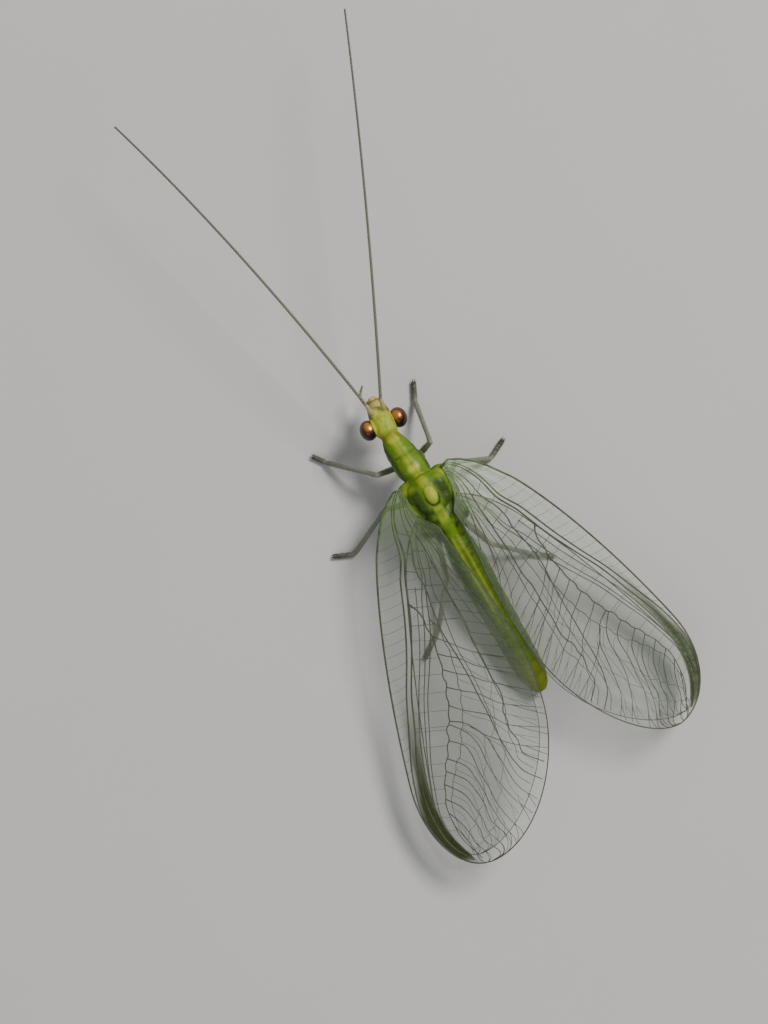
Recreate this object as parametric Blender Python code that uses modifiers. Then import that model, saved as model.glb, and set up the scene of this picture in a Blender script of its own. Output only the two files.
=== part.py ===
"""Green lacewing at life size: a still model that stands on its six feet with its wings half open.

Every place is given from a datum on the floor under the middle of the mesothorax, with the head towards
-Y, the insect's left towards +X and +Z up. An empty then puts that datum at its place in the model's
frame, whose origin is on the floor at the middle of the model's outline. Lengths are in metres.
"""

import math

import bmesh
import bpy
from mathutils import Vector

MM = 0.001

# Driving sizes
FOREWING_LENGTH_LEFT = 13.32 * MM
FOREWING_LENGTH_RIGHT = 12.21 * MM
HIND_TO_FOREWING = 0.895
WING_THICKNESS = 0.50 * MM
VEIN_HEIGHT = 0.08 * MM
VEIN_HALF_WIDTH = 0.14 * MM
WING_STACK = 0.98 * MM
ABDOMEN_LENGTH = 6.55 * MM
EYE_RADIUS = 0.385 * MM
LIMB_RADIUS = 0.25 * MM
GAP = 0.2 * MM
DATUM_PLACE = (-0.04 * MM, 2.02 * MM, 0.0)

BODY_SIDES = 14
LIMB_SIDES_SETTING = 2
PATH_STEP = 0.32 * MM


def clear_scene():
    """Removes whatever the file holds."""
    for item in list(bpy.data.objects):
        bpy.data.objects.remove(item, do_unlink=True)


def make_material(name, colour, roughness, alpha=1.0):
    """A Principled material of one colour."""
    material = bpy.data.materials.new(name)
    material.use_nodes = True
    shader = material.node_tree.nodes["Principled BSDF"]
    shader.inputs["Base Color"].default_value = (*colour, 1.0)
    shader.inputs["Roughness"].default_value = roughness
    shader.inputs["Metallic"].default_value = 0.0
    shader.inputs["Alpha"].default_value = alpha
    return material


class Build:
    """The collection, materials and parent empty that every piece shares."""

    def __init__(self):
        self.parts = bpy.data.collections.new("green_lacewing")
        self.helpers = bpy.data.collections.new("cutters")
        for collection in (self.parts, self.helpers):
            bpy.context.scene.collection.children.link(collection)
        self.datum = bpy.data.objects.new("datum", None)
        self.datum.location = DATUM_PLACE
        self.parts.objects.link(self.datum)
        self.green = make_material("body_green", (0.32, 0.47, 0.05), 0.45)
        self.pale = make_material("head_pale_green", (0.50, 0.52, 0.16), 0.45)
        self.copper = make_material("eye_copper", (0.16, 0.06, 0.02), 0.15)
        self.grey = make_material("limb_grey_green", (0.27, 0.29, 0.22), 0.55)
        self.brown = make_material("feeler_brown", (0.16, 0.15, 0.12), 0.6)
        self.clear = make_material("wing_membrane", (0.55, 0.62, 0.50), 0.2, 0.45)

    def add(self, name, data, material, collection=None):
        """An object of this data, parented to the datum."""
        piece = bpy.data.objects.new(name, data)
        (collection or self.parts).objects.link(piece)
        piece.parent = self.datum
        data.materials.append(material)
        return piece


def bridge_rings(mesh_maker, rings):
    """Skins a row of rings, each a list of vertices in the same order, and caps both ends."""
    for first, second in zip(rings, rings[1:]):
        count = len(first)
        for i in range(count):
            j = (i + 1) % count
            mesh_maker.faces.new((first[i], first[j], second[j], second[i]))
    mesh_maker.faces.new(rings[0][::-1])
    mesh_maker.faces.new(rings[-1])


def body_form(name, stations, turn=0.0, pivot=(0.0, 0.0), floor=None, sides=BODY_SIDES):
    """A mesh lofted through upright ovals.

    Each station is (x, y, z, half width, half height) in millimetres. The whole is turned about a
    vertical line through pivot, and nothing goes under floor.
    """
    mesh_maker = bmesh.new()
    rings = []
    cosine, sine = math.cos(turn), math.sin(turn)
    for x, y, z, half_width, half_height in stations:
        ring = []
        for i in range(sides):
            angle = 2 * math.pi * (i + 0.5) / sides
            away = x + half_width * math.cos(angle) - pivot[0]
            along = y - pivot[1]
            height = z + half_height * math.sin(angle)
            if floor is not None:
                height = max(height, floor)
            place = Vector(
                (pivot[0] + away * cosine - along * sine, pivot[1] + away * sine + along * cosine, height)
            )
            ring.append(mesh_maker.verts.new(place * MM))
        rings.append(ring)
    bridge_rings(mesh_maker, rings)
    bmesh.ops.recalc_face_normals(mesh_maker, faces=mesh_maker.faces[:])
    data = bpy.data.meshes.new(name)
    mesh_maker.to_mesh(data)
    mesh_maker.free()
    data.shade_smooth()
    data.set_sharp_from_angle(angle=math.radians(40))
    return data


def rounded_path(corners, bend):
    """A polyline of short steps through the corners, which are in millimetres, with each corner rounded."""
    corners = [Vector(corner) * MM for corner in corners]
    pieces = [corners[0]]
    for before, corner, after in zip(corners, corners[1:], corners[2:]):
        reach = min(bend, (corner - before).length * 0.45, (after - corner).length * 0.45)
        start = corner + (before - corner).normalized() * reach
        end = corner + (after - corner).normalized() * reach
        for step in range(5):
            t = step / 4
            pieces.append(start * (1 - t) ** 2 + corner * 2 * t * (1 - t) + end * t**2)
    pieces.append(corners[-1])
    return pieces


def lengths_along(path):
    """The distance from the start to each point of a polyline."""
    reached = [0.0]
    for first, second in zip(path, path[1:]):
        reached.append(reached[-1] + (second - first).length)
    return reached


def point_at(path, reached, distance):
    """The point of a polyline at this distance from its start."""
    for i in range(len(path) - 1):
        if distance <= reached[i + 1] or i == len(path) - 2:
            span = reached[i + 1] - reached[i]
            return path[i].lerp(path[i + 1], (distance - reached[i]) / span)
    return path[-1]


def stretch(path, start, end):
    """The points of a polyline between two distances, both ends included, evenly stepped."""
    reached = lengths_along(path)
    steps = max(2, round((end - start) / PATH_STEP))
    return [point_at(path, reached, start + (end - start) * i / steps) for i in range(steps + 1)]


def tube(build, name, points, radii, material, sides_setting=LIMB_SIDES_SETTING):
    """A curve object with a round section whose radius runs from the first of radii to the last."""
    data = bpy.data.curves.new(name, "CURVE")
    data.dimensions = "3D"
    data.bevel_depth = 1.0 * MM
    data.bevel_resolution = sides_setting
    data.use_fill_caps = True
    spline = data.splines.new("POLY")
    spline.points.add(len(points) - 1)
    for i, (knot, place) in enumerate(zip(spline.points, points)):
        position = i / (len(points) - 1) * (len(radii) - 1)
        low = min(int(position), len(radii) - 2)
        radius = radii[low] + (radii[low + 1] - radii[low]) * (position - low)
        knot.co = (*place, 1.0)
        knot.radius = radius / MM
    return build.add(name, data, material)


def as_mesh(build, piece, floor=None):
    """The same piece as a mesh with welded caps, kept above floor."""
    bpy.context.view_layer.update()
    graph = bpy.context.evaluated_depsgraph_get()
    data = bpy.data.meshes.new_from_object(piece.evaluated_get(graph))
    mesh_maker = bmesh.new()
    mesh_maker.from_mesh(data)
    bmesh.ops.remove_doubles(mesh_maker, verts=mesh_maker.verts[:], dist=1e-7)
    if floor is not None:
        for vertex in mesh_maker.verts:
            vertex.co.z = max(vertex.co.z, floor)
    bmesh.ops.recalc_face_normals(mesh_maker, faces=mesh_maker.faces[:])
    mesh_maker.to_mesh(data)
    mesh_maker.free()
    name, material = piece.name, piece.data.materials[0]
    curve = piece.data
    bpy.data.objects.remove(piece)
    bpy.data.curves.remove(curve)
    data.materials.clear()
    return build.add(name, data, material)


def ellipsoid(build, name, centre, half_sizes, material, turn=(0.0, 0.0, 0.0)):
    """A closed ball stretched to these half sizes, in millimetres, in the helpers' collection."""
    mesh_maker = bmesh.new()
    bmesh.ops.create_uvsphere(mesh_maker, u_segments=12, v_segments=8, radius=MM)
    data = bpy.data.meshes.new(name)
    mesh_maker.to_mesh(data)
    mesh_maker.free()
    piece = build.add(name, data, material, build.helpers)
    piece.scale = half_sizes
    piece.rotation_euler = turn
    piece.location = Vector(centre) * MM
    return piece


def keep_largest(data):
    """Leaves a mesh only the closed surface with the most faces."""
    mesh_maker = bmesh.new()
    mesh_maker.from_mesh(data)
    waiting = set(mesh_maker.faces)
    surfaces = []
    while waiting:
        edge_of_search = [waiting.pop()]
        surface = list(edge_of_search)
        while edge_of_search:
            face = edge_of_search.pop()
            for edge in face.edges:
                for near in edge.link_faces:
                    if near in waiting:
                        waiting.remove(near)
                        edge_of_search.append(near)
                        surface.append(near)
        surfaces.append(surface)
    largest = max(surfaces, key=len)
    scraps = [face for surface in surfaces if surface is not largest for face in surface]
    bmesh.ops.delete(mesh_maker, geom=scraps, context="FACES")
    mesh_maker.to_mesh(data)
    mesh_maker.free()


def combine(build, piece, operation, others):
    """Applies one Boolean of piece with the other objects, then removes them."""
    held = bpy.data.collections.new(piece.name + "_others")
    bpy.context.scene.collection.children.link(held)
    for other in others:
        build.helpers.objects.unlink(other)
        held.objects.link(other)
    modifier = piece.modifiers.new(operation.lower(), "BOOLEAN")
    modifier.operand_type = "COLLECTION"
    modifier.collection = held
    modifier.operation = operation
    modifier.solver = "EXACT"
    bpy.context.view_layer.update()
    graph = bpy.context.evaluated_depsgraph_get()
    data = bpy.data.meshes.new_from_object(piece.evaluated_get(graph))
    keep_largest(data)
    piece.modifiers.clear()
    old = piece.data
    piece.data = data
    bpy.data.meshes.remove(old)
    for other in others:
        bpy.data.objects.remove(other)
    bpy.data.collections.remove(held)


# Head: its own line runs forward from between the eyes, turned a little towards the insect's right
HEAD_CENTRE = (0.19, -2.82)
HEAD_TURN = math.radians(-6.0)
EYE_SPREAD = 0.60
EYE_HEIGHT = 1.98
EYE_FLAT = 0.44
EYE_BULGE = 0.83
HEAD_OVALS = (
    (-0.46, 2.02, 0.30, 0.28),
    (-0.36, 2.00, 0.44, 0.40),
    (-0.10, 1.97, 0.56, 0.49),
    (0.20, 1.90, 0.54, 0.48),
    (0.45, 1.76, 0.47, 0.43),
    (0.68, 1.60, 0.38, 0.34),
    (0.88, 1.46, 0.31, 0.25),
    (1.02, 1.37, 0.22, 0.15),
)


def head_place(ahead, left, height):
    """A point of the head, given in millimetres ahead of the eyes, left of its midline and off the floor."""
    cosine, sine = math.cos(HEAD_TURN), math.sin(HEAD_TURN)
    return Vector(
        (
            HEAD_CENTRE[0] + left * cosine + ahead * sine,
            HEAD_CENTRE[1] + left * sine - ahead * cosine,
            height,
        )
    )


def make_head(build):
    """The head capsule with its labrum and jaws, and a flat seat on each side for an eye."""
    stations = [
        (HEAD_CENTRE[0], HEAD_CENTRE[1] - ahead, height, half_width, half_height)
        for ahead, height, half_width, half_height in HEAD_OVALS
    ]
    head = build.add("head", body_form("head", stations, HEAD_TURN, HEAD_CENTRE), build.pale)
    upright = (0.0, 0.0, HEAD_TURN)
    added = [
        ellipsoid(build, "labrum", head_place(1.00, 0.0, 1.38), (0.22, 0.17, 0.13), build.pale, upright),
        ellipsoid(build, "brow", head_place(0.36, 0.0, 2.02), (0.40, 0.42, 0.24), build.pale, upright),
    ]
    for side in (-1, 1):
        jaw = head_place(0.88, 0.14 * side, 1.22)
        cheek = head_place(0.52, 0.24 * side, 1.56)
        added.append(ellipsoid(build, "jaw", jaw, (0.15, 0.26, 0.13), build.pale, upright))
        added.append(ellipsoid(build, "cheek", cheek, (0.22, 0.38, 0.26), build.pale, upright))
    combine(build, head, "UNION", added)
    cutters = []
    for side in (-1, 1):
        mesh_maker = bmesh.new()
        bmesh.ops.create_cone(
            mesh_maker,
            cap_ends=True,
            segments=20,
            radius1=(EYE_RADIUS + GAP),
            radius2=(EYE_RADIUS + GAP),
            depth=0.8 * MM,
        )
        data = bpy.data.meshes.new("eye_seat")
        mesh_maker.to_mesh(data)
        mesh_maker.free()
        cutter = build.add("eye_seat", data, build.pale, build.helpers)
        cutter.rotation_euler = (0.0, math.radians(90), HEAD_TURN)
        seat = EYE_FLAT - GAP / MM + 0.4
        cutter.location = head_place(0.0, seat * side, EYE_HEIGHT) * MM
        cutters.append(cutter)
    combine(build, head, "DIFFERENCE", cutters)
    return head


def make_eyes(build):
    """A domed compound eye on each side, cut flat where it faces its seat on the head."""
    for name, side in (("eye_left", 1), ("eye_right", -1)):
        mesh_maker = bmesh.new()
        bmesh.ops.create_uvsphere(mesh_maker, u_segments=18, v_segments=12, radius=EYE_RADIUS)
        bmesh.ops.rotate(
            mesh_maker,
            verts=mesh_maker.verts[:],
            matrix=Vector((0, 0, 1)).rotation_difference(Vector((1, 0, 0))).to_matrix(),
        )
        bmesh.ops.scale(mesh_maker, verts=mesh_maker.verts[:], vec=(EYE_BULGE, 1.0, 1.0))
        flat = Vector(((EYE_FLAT - EYE_SPREAD) * side * MM, 0.0, 0.0))
        cut = bmesh.ops.bisect_plane(
            mesh_maker,
            geom=mesh_maker.verts[:] + mesh_maker.edges[:] + mesh_maker.faces[:],
            plane_co=flat,
            plane_no=(-side, 0, 0),
            clear_outer=True,
        )
        rim = [item for item in cut["geom_cut"] if isinstance(item, bmesh.types.BMEdge)]
        bmesh.ops.edgeloop_fill(mesh_maker, edges=rim)
        bmesh.ops.recalc_face_normals(mesh_maker, faces=mesh_maker.faces[:])
        data = bpy.data.meshes.new(name)
        mesh_maker.to_mesh(data)
        mesh_maker.free()
        data.shade_smooth()
        eye = build.add(name, data, build.copper)
        eye.rotation_euler = (0.0, 0.0, HEAD_TURN)
        eye.location = head_place(0.0, EYE_SPREAD * side, EYE_HEIGHT) * MM


# Feelers: corners in millimetres from the socket outwards
FEELER_PATHS = {
    "left": ((0.52, 0.24, 2.38), (0.85, 0.30, 2.50), (1.63, -10.72, 3.55), (3.17, -16.99, 3.30)),
    "right": ((0.52, -0.24, 2.38), (0.85, -0.27, 2.50), (-3.29, -10.04, 3.55), (-6.17, -16.47, 3.30)),
}


def curve_through(start, middle, end, steps):
    """Points of the parabola through three places, the middle one at its half way."""
    start, middle, end = Vector(start), Vector(middle), Vector(end)
    control = middle * 2 - (start + end) / 2
    return [
        start * (1 - t) ** 2 + control * 2 * t * (1 - t) + end * t**2
        for t in (step / steps for step in range(steps + 1))
    ]


def make_feelers(build):
    """The two thread-like feelers, thick at the first joint and thinning to the tip."""
    for side, (socket, joint, middle, tip) in FEELER_PATHS.items():
        socket, joint = head_place(*socket), head_place(*joint)
        points = [socket * MM, (socket.lerp(joint, 0.5)) * MM]
        points += [point * MM for point in curve_through(joint, middle, tip, 22)]
        radii = [0.29 * MM, 0.28 * MM, 0.25 * MM] + [0.25 * MM] * 9 + [0.14 * MM]
        tube(build, f"antenna_{side}", points, radii, build.brown)


PALP_PATHS = {
    "left": ((1.02, 0.36, 1.22), (1.25, 0.40, 1.15), (1.62, 0.12, 1.20)),
    "right": ((1.02, -0.36, 1.22), (1.22, -0.42, 1.12), (1.45, -0.50, 1.05)),
}


def make_palps(build):
    """The two mouth feelers beside the jaws."""
    for side, corners in PALP_PATHS.items():
        path = rounded_path([head_place(*corner) for corner in corners], 0.15 * MM)
        total = lengths_along(path)[-1]
        points = stretch(path, 0.0, total)
        tube(build, f"palp_{side}", points, [0.20 * MM, 0.18 * MM, 0.10 * MM], build.brown)


# Trunk: ovals of (x, y, z, half width, half height) in millimetres, from the front backwards
PRONOTUM_OVALS = (
    (0.21, -2.15, 2.03, 0.30, 0.28),
    (0.21, -2.08, 2.03, 0.37, 0.35),
    (0.20, -1.85, 2.04, 0.45, 0.43),
    (0.17, -1.50, 2.05, 0.51, 0.47),
    (0.15, -1.27, 2.03, 0.49, 0.43),
    (0.13, -1.08, 2.05, 0.56, 0.52),
    (0.10, -0.86, 2.06, 0.60, 0.58),
    (0.07, -0.70, 2.05, 0.62, 0.62),
    (0.06, -0.62, 2.04, 0.57, 0.57),
)
MESOTHORAX_OVALS = (
    (0.0, -0.42, 2.03, 0.60, 0.62),
    (0.0, -0.32, 2.04, 0.76, 0.75),
    (0.0, -0.05, 2.05, 0.92, 0.84),
    (0.0, 0.40, 2.04, 0.95, 0.84),
    (0.0, 0.68, 2.02, 0.86, 0.78),
    (0.0, 0.82, 2.00, 0.74, 0.68),
)
METATHORAX_OVALS = (
    (0.0, 1.02, 1.98, 0.70, 0.64),
    (0.0, 1.12, 1.97, 0.80, 0.72),
    (0.0, 1.40, 1.94, 0.82, 0.73),
    (0.0, 1.68, 1.90, 0.66, 0.62),
    (0.0, 1.85, 1.87, 0.48, 0.48),
)


def make_trunk(build):
    """The three rings of the thorax. The middle one carries its lobes and shield, the last its shield."""
    build.add("pronotum", body_form("pronotum", PRONOTUM_OVALS), build.green)
    middle = build.add("mesothorax", body_form("mesothorax", MESOTHORAX_OVALS), build.green)
    last = build.add("metathorax", body_form("metathorax", METATHORAX_OVALS), build.green)
    lobes = [
        ellipsoid(build, "shield", (0.0, 0.46, 2.80), (0.24, 0.33, 0.14), build.green),
        ellipsoid(build, "front_lobe", (0.0, -0.14, 2.70), (0.42, 0.24, 0.18), build.green),
    ]
    for side in (-1, 1):
        place = (0.40 * side, 0.12, 2.60)
        lobes.append(ellipsoid(build, "side_lobe", place, (0.42, 0.42, 0.24), build.green))
        place = (0.78 * side, -0.20, 2.36)
        lobes.append(ellipsoid(build, "shoulder", place, (0.22, 0.32, 0.26), build.green))
    combine(build, middle, "UNION", lobes)
    humps = [ellipsoid(build, "rear_shield", (0.0, 1.45, 2.58), (0.20, 0.28, 0.12), build.green)]
    for side in (-1, 1):
        place = (0.36 * side, 1.34, 2.42)
        humps.append(ellipsoid(build, "rear_lobe", place, (0.36, 0.28, 0.22), build.green))
    combine(build, last, "UNION", humps)


ABDOMEN_START = (2.05, 1.86)
ABDOMEN_END_HEIGHT = 0.34
ABDOMEN_WAIST = 0.46
ABDOMEN_FULL = 0.60
ABDOMEN_REAR = 0.53
ABDOMEN_TIP_START = 0.80
SEGMENT_GROOVE = 0.07
SEGMENT_ENDS = (0.10, 0.22, 0.35, 0.48, 0.61, 0.73, 0.83, 0.91)
GROOVE_SHARE = 0.012


def abdomen_half_width(share):
    """Half the abdomen's width at this share of its length: fullest behind the waist, round at the end."""
    front = ABDOMEN_WAIST + (ABDOMEN_FULL - ABDOMEN_WAIST) * math.sin(math.pi / 2 * min(1.0, share / 0.16))
    rear = front - (ABDOMEN_FULL - ABDOMEN_REAR) * max(0.0, share - 0.16) / 0.84
    past = max(0.0, share - ABDOMEN_TIP_START) / (1.012 - ABDOMEN_TIP_START)
    return rear * math.sqrt(1 - past**2.4)


def make_abdomen(build):
    """The long abdomen, ringed by its segments, drooping until its end rests on the floor."""
    shares = [0.0, 0.04, 0.94, 0.965, 0.985, 1.0]
    for end, following in zip(SEGMENT_ENDS, SEGMENT_ENDS[1:] + (1.0,)):
        shares += [end - GROOVE_SHARE, end, end + GROOVE_SHARE]
        if following < 1.0:
            shares.append((end + following) / 2)
    length = ABDOMEN_LENGTH / MM
    stations = []
    for share in sorted(shares):
        groove = 1.0 - (SEGMENT_GROOVE if share in SEGMENT_ENDS else 0.0)
        half_width = abdomen_half_width(share) * groove
        sag = (1 - share) ** 1.35
        height = ABDOMEN_END_HEIGHT + (ABDOMEN_START[1] - ABDOMEN_END_HEIGHT) * sag
        lift = 0.18 * max(0.0, share - 0.9) / 0.1
        place = (0.04 + 0.04 * share, ABDOMEN_START[0] + length * share, height + lift)
        stations.append((*place, half_width, half_width * 0.98))
    build.add("abdomen", body_form("abdomen", stations, floor=0.0, sides=12), build.green)


# Legs: corners in millimetres at the body, the hip, the knee, the ankle, the foot and the toe
TIBIA_END = 0.34
SOLE = 0.12
LEG_PATHS = {
    "front_left": ((0.42, -1.12, 1.38), (0.60, -1.20, 0.98), (1.34, -1.33, 1.50), (2.73, -2.70), (3.03, -3.13)),
    "front_right": ((-0.20, -1.12, 1.38), (-0.38, -1.20, 0.98), (-0.96, -1.39, 1.62), (-1.26, -2.99), (-1.58, -3.64)),
    "middle_left": ((0.52, 0.20, 1.08), (0.72, 0.18, 0.78), (1.73, -0.08, 1.52), (3.53, 0.76), (4.22, 0.45)),
    "middle_right": ((-0.52, 0.20, 1.08), (-0.72, 0.18, 0.78), (-1.40, -0.30, 1.52), (-2.60, 0.25), (-3.34, -0.12)),
    "hind_left": ((0.40, 1.32, 1.05), (0.50, 1.50, 0.72), (1.02, 3.20, 1.00), (2.28, 4.76), (3.20, 5.40)),
    "hind_right": ((-0.40, 1.32, 1.05), (-0.50, 1.50, 0.72), (-1.00, 2.95, 1.00), (-2.09, 4.01), (-2.79, 4.55)),
}


def make_legs(build):
    """Six legs, each cut from one bent path into a thigh with its hip, a shin and a foot that lies flat."""
    for name, (root, hip, knee, ankle, toe) in LEG_PATHS.items():
        ankle = (*ankle, TIBIA_END)
        foot = Vector(ankle).lerp(Vector((*toe, SOLE)), 0.4)
        foot.z = SOLE
        path = rounded_path([root, hip, knee, ankle, foot, (*toe, SOLE)], 0.35 * MM)
        reached = lengths_along(path)
        total = reached[-1]
        corner_reach = [
            min(range(len(path)), key=lambda i: (path[i] - Vector(corner) * MM).length)
            for corner in (knee, ankle)
        ]
        knee_cut = reached[corner_reach[0]] + 0.35 * MM
        ankle_cut = reached[corner_reach[1]] + 0.12 * MM
        thigh = stretch(path, 0.0, knee_cut)
        shin = stretch(path, knee_cut + GAP, ankle_cut)
        sole = stretch(path, ankle_cut + GAP, total)
        tube(build, f"leg_{name}_femur", thigh, [0.31 * MM, 0.28 * MM, 0.27 * MM, LIMB_RADIUS], build.grey)
        tube(build, f"leg_{name}_tibia", shin, [LIMB_RADIUS, LIMB_RADIUS], build.grey)
        flat = tube(build, f"leg_{name}_tarsus", sole, [0.23 * MM, 0.21 * MM, 0.19 * MM], build.grey)
        as_mesh(build, flat, floor=0.0)


# Wings: shares of the length and of the chord, whose 0 is the front margin and 1 the hind margin
ROOT_HALF_WIDTH = 0.26
FORE_SHAPE = {"front_widest": 0.75, "hind_widest": 0.62, "hind_roundness": 1.8, "hind_fullness": 1.1}
HIND_SHAPE = {"front_widest": 0.80, "hind_widest": 0.62, "hind_roundness": 1.7, "hind_fullness": 1.5}


class WingPlan:
    """The outline, place and tilt of one wing."""

    def __init__(self, side, root, yaw, length, front_width, hind_width, shape, lowered):
        self.side = side
        self.root = Vector(root)
        self.yaw = math.radians(yaw)
        self.length = length / MM
        self.front_width = front_width
        self.hind_width = hind_width
        self.shape = shape
        self.lowered = lowered

    def front_reach(self, share):
        """How far the front margin stands from the wing's own line, in millimetres."""
        widest = self.shape["front_widest"]
        if share > widest:
            past = (share - widest) / (1 - widest)
            bulge = max(0.0, 1 - past**2) ** 0.5
        else:
            bulge = (1 - (1 - share / widest) ** 2) ** 0.45
        return self.length * self.front_width * bulge + ROOT_HALF_WIDTH * (1 - share) ** 8

    def hind_reach(self, share):
        """How far the hind margin stands from the wing's own line, in millimetres."""
        widest = self.shape["hind_widest"]
        if share > widest:
            past = (share - widest) / (1 - widest)
            power = self.shape["hind_roundness"]
            bulge = max(0.0, 1 - past**power) ** (1 / power)
        else:
            bulge = (1 - (1 - share / widest) ** 2) ** self.shape["hind_fullness"]
        return self.length * self.hind_width * bulge + ROOT_HALF_WIDTH * (1 - share) ** 8

    def axis(self):
        """The direction of the wing's own line on the floor."""
        return Vector((math.sin(self.yaw) * self.side, math.cos(self.yaw)))

    def across(self, turned=0.0):
        """The direction on the floor from the hind margin to the front one, turned forward at the root."""
        angle = -self.yaw - turned
        return Vector((math.cos(angle) * self.side, math.sin(angle)))

    def plan_point(self, share, chord):
        """A point of the wing seen from above, in millimetres."""
        near_root = max(0.0, 1 - share / 0.09)
        turned = (math.pi / 2 - self.yaw) * near_root**1.5
        reach = self.front_reach(share) * (1 - chord) - self.hind_reach(share) * chord
        return self.root + self.axis() * (self.length * share) + self.across(turned) * reach


ROOF_ROOT = 2.66
ROOF_DROP = 0.65
ROOF_SLOPE = 0.25
ROOF_CURL = 0.030


def roof_height(forewing, place):
    """The height of the forewing's middle surface over a place on the floor, in millimetres."""
    away = place - forewing.root
    share = max(0.0, away.dot(forewing.axis()) / forewing.length)
    across = away.dot(forewing.across())
    return ROOF_ROOT - ROOF_DROP * share**1.2 - ROOF_SLOPE * across - ROOF_CURL * across**2


FORE_VEINS = (
    (0.42, 0.24, 0.13, 0.075, 0.06),
    (0.52, 0.34, 0.37, 0.34, 0.30),
    (0.66, 0.55, 0.56, 0.56, 0.55),
    (0.80, 0.76, 0.74, 0.75, 0.76),
)
HIND_VEINS = (
    (0.40, 0.20, 0.12, 0.08, 0.06),
    (0.52, 0.36, 0.34, 0.32, 0.30),
    (0.66, 0.56, 0.56, 0.56, 0.55),
    (0.80, 0.78, 0.76, 0.76, 0.76),
)
CROSS_VEIN_SHARES = (0.16, 0.26, 0.36, 0.46, 0.56, 0.66, 0.76, 0.86)
CROSS_HALF_WIDTH_SHARE = 0.010
PLAIN_SHARES = (0.0, 0.02, 0.05, 0.09, 0.93, 0.962, 0.982, 0.994, 0.9992)
SHEAR = 0.72
CREST_START = 0.03
CREST_END = 0.97
CREST_FADE = 0.07


def vein_chord(knots, share):
    """Where a long vein crosses the chord, read smoothly between its five evenly spaced knots."""
    position = min(share, 0.9999) * (len(knots) - 1)
    low = int(position)
    t = position - low
    return knots[low] + (knots[low + 1] - knots[low]) * (t * t * (3 - 2 * t))


def wing_rows():
    """The shares of the length at which the wing's mesh has a row, each with whether it is a crest."""
    rows = [(share, False) for share in PLAIN_SHARES]
    for share in CROSS_VEIN_SHARES:
        rows += [(share - CROSS_HALF_WIDTH_SHARE, False), (share, True), (share + CROSS_HALF_WIDTH_SHARE, False)]
    return sorted(rows)


def wing_columns(plan, veins, share):
    """The chord positions of the mesh's columns at this share, each with whether it is a crest."""
    chord_length = plan.front_reach(share) + plan.hind_reach(share)
    foot = min(VEIN_HALF_WIDTH / MM / chord_length, 0.035)
    columns = [(0.0, False)]
    for knots in veins:
        centre = vein_chord(knots, share)
        columns += [(centre - foot, False), (centre, True), (centre + foot, False)]
    return columns + [(1.0, False)]


def make_wing(build, name, plan, veins, forewing):
    """One wing: a thin plate on its roof-like surface, with its main veins raised on both faces."""
    mesh_maker = bmesh.new()
    crest_layer = mesh_maker.verts.layers.deform.new()
    grid = []
    for share, crest_row in wing_rows():
        line = []
        for chord, crest_column in wing_columns(plan, veins, share):
            slant = SHEAR * max(0.0, chord - 0.33) * share * (1 - share)
            place = plan.plan_point(share + slant, chord)
            height = roof_height(forewing, place) - plan.lowered
            vertex = mesh_maker.verts.new(Vector((place.x, place.y, height)) * MM)
            fade = min((share - CREST_START) / CREST_FADE, (CREST_END - share) / CREST_FADE, 1.0)
            vertex[crest_layer][0] = max(0.0, fade) if crest_row or crest_column else 0.0
            line.append(vertex)
        grid.append(line)
    for first, second in zip(grid, grid[1:]):
        for i in range(len(first) - 1):
            mesh_maker.faces.new((first[i], first[i + 1], second[i + 1], second[i]))
    bmesh.ops.triangulate(mesh_maker, faces=mesh_maker.faces[:])
    bmesh.ops.recalc_face_normals(mesh_maker, faces=mesh_maker.faces[:])
    data = bpy.data.meshes.new(name)
    mesh_maker.to_mesh(data)
    mesh_maker.free()
    wing = build.add(name, data, build.clear)
    wing.vertex_groups.new(name="crests")
    crest_thickness = WING_THICKNESS + 2 * VEIN_HEIGHT
    plate = wing.modifiers.new("plate", "SOLIDIFY")
    plate.thickness = crest_thickness
    plate.offset = 0.0
    plate.vertex_group = "crests"
    plate.thickness_vertex_group = WING_THICKNESS / crest_thickness


def make_wings(build):
    """Both pairs of wings. Each hind wing lies under its forewing, a stack's height lower."""
    stack = WING_STACK / MM
    for side, word, length, fore_sizes, hind_sizes in (
        (1, "left", FOREWING_LENGTH_LEFT, (16.5, 0.158, 0.251), (20.3, 0.105, 0.256)),
        (-1, "right", FOREWING_LENGTH_RIGHT, (12.3, 0.193, 0.194), (16.6, 0.140, 0.236)),
    ):
        fore = WingPlan(side, (1.20 * side, 0.16), fore_sizes[0], length, *fore_sizes[1:], FORE_SHAPE, 0.0)
        length *= HIND_TO_FOREWING
        rear = WingPlan(side, (1.06 * side, 1.36), hind_sizes[0], length, *hind_sizes[1:], HIND_SHAPE, stack)
        make_wing(build, f"forewing_{word}", fore, FORE_VEINS, fore)
        make_wing(build, f"hindwing_{word}", rear, HIND_VEINS, fore)


def main():
    """Clears the scene and builds every part."""
    clear_scene()
    build = Build()
    make_head(build)
    make_eyes(build)
    make_feelers(build)
    make_palps(build)
    make_trunk(build)
    make_abdomen(build)
    make_legs(build)
    make_wings(build)
    build.helpers.hide_render = True


main()
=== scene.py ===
"""A green lacewing at life size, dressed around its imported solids.

Places are given in millimetres from a datum on the floor under the middle of the mesothorax, with the
head towards -Y, the insect's left towards +X and +Z up. DATUM says where that datum lies in the frame.
"""

import logging
import math
import random
from dataclasses import dataclass
from enum import Enum
from typing import Callable, Iterable, Sequence

import bpy
from mathutils import Matrix, Vector, noise
from mathutils.kdtree import KDTree


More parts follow.
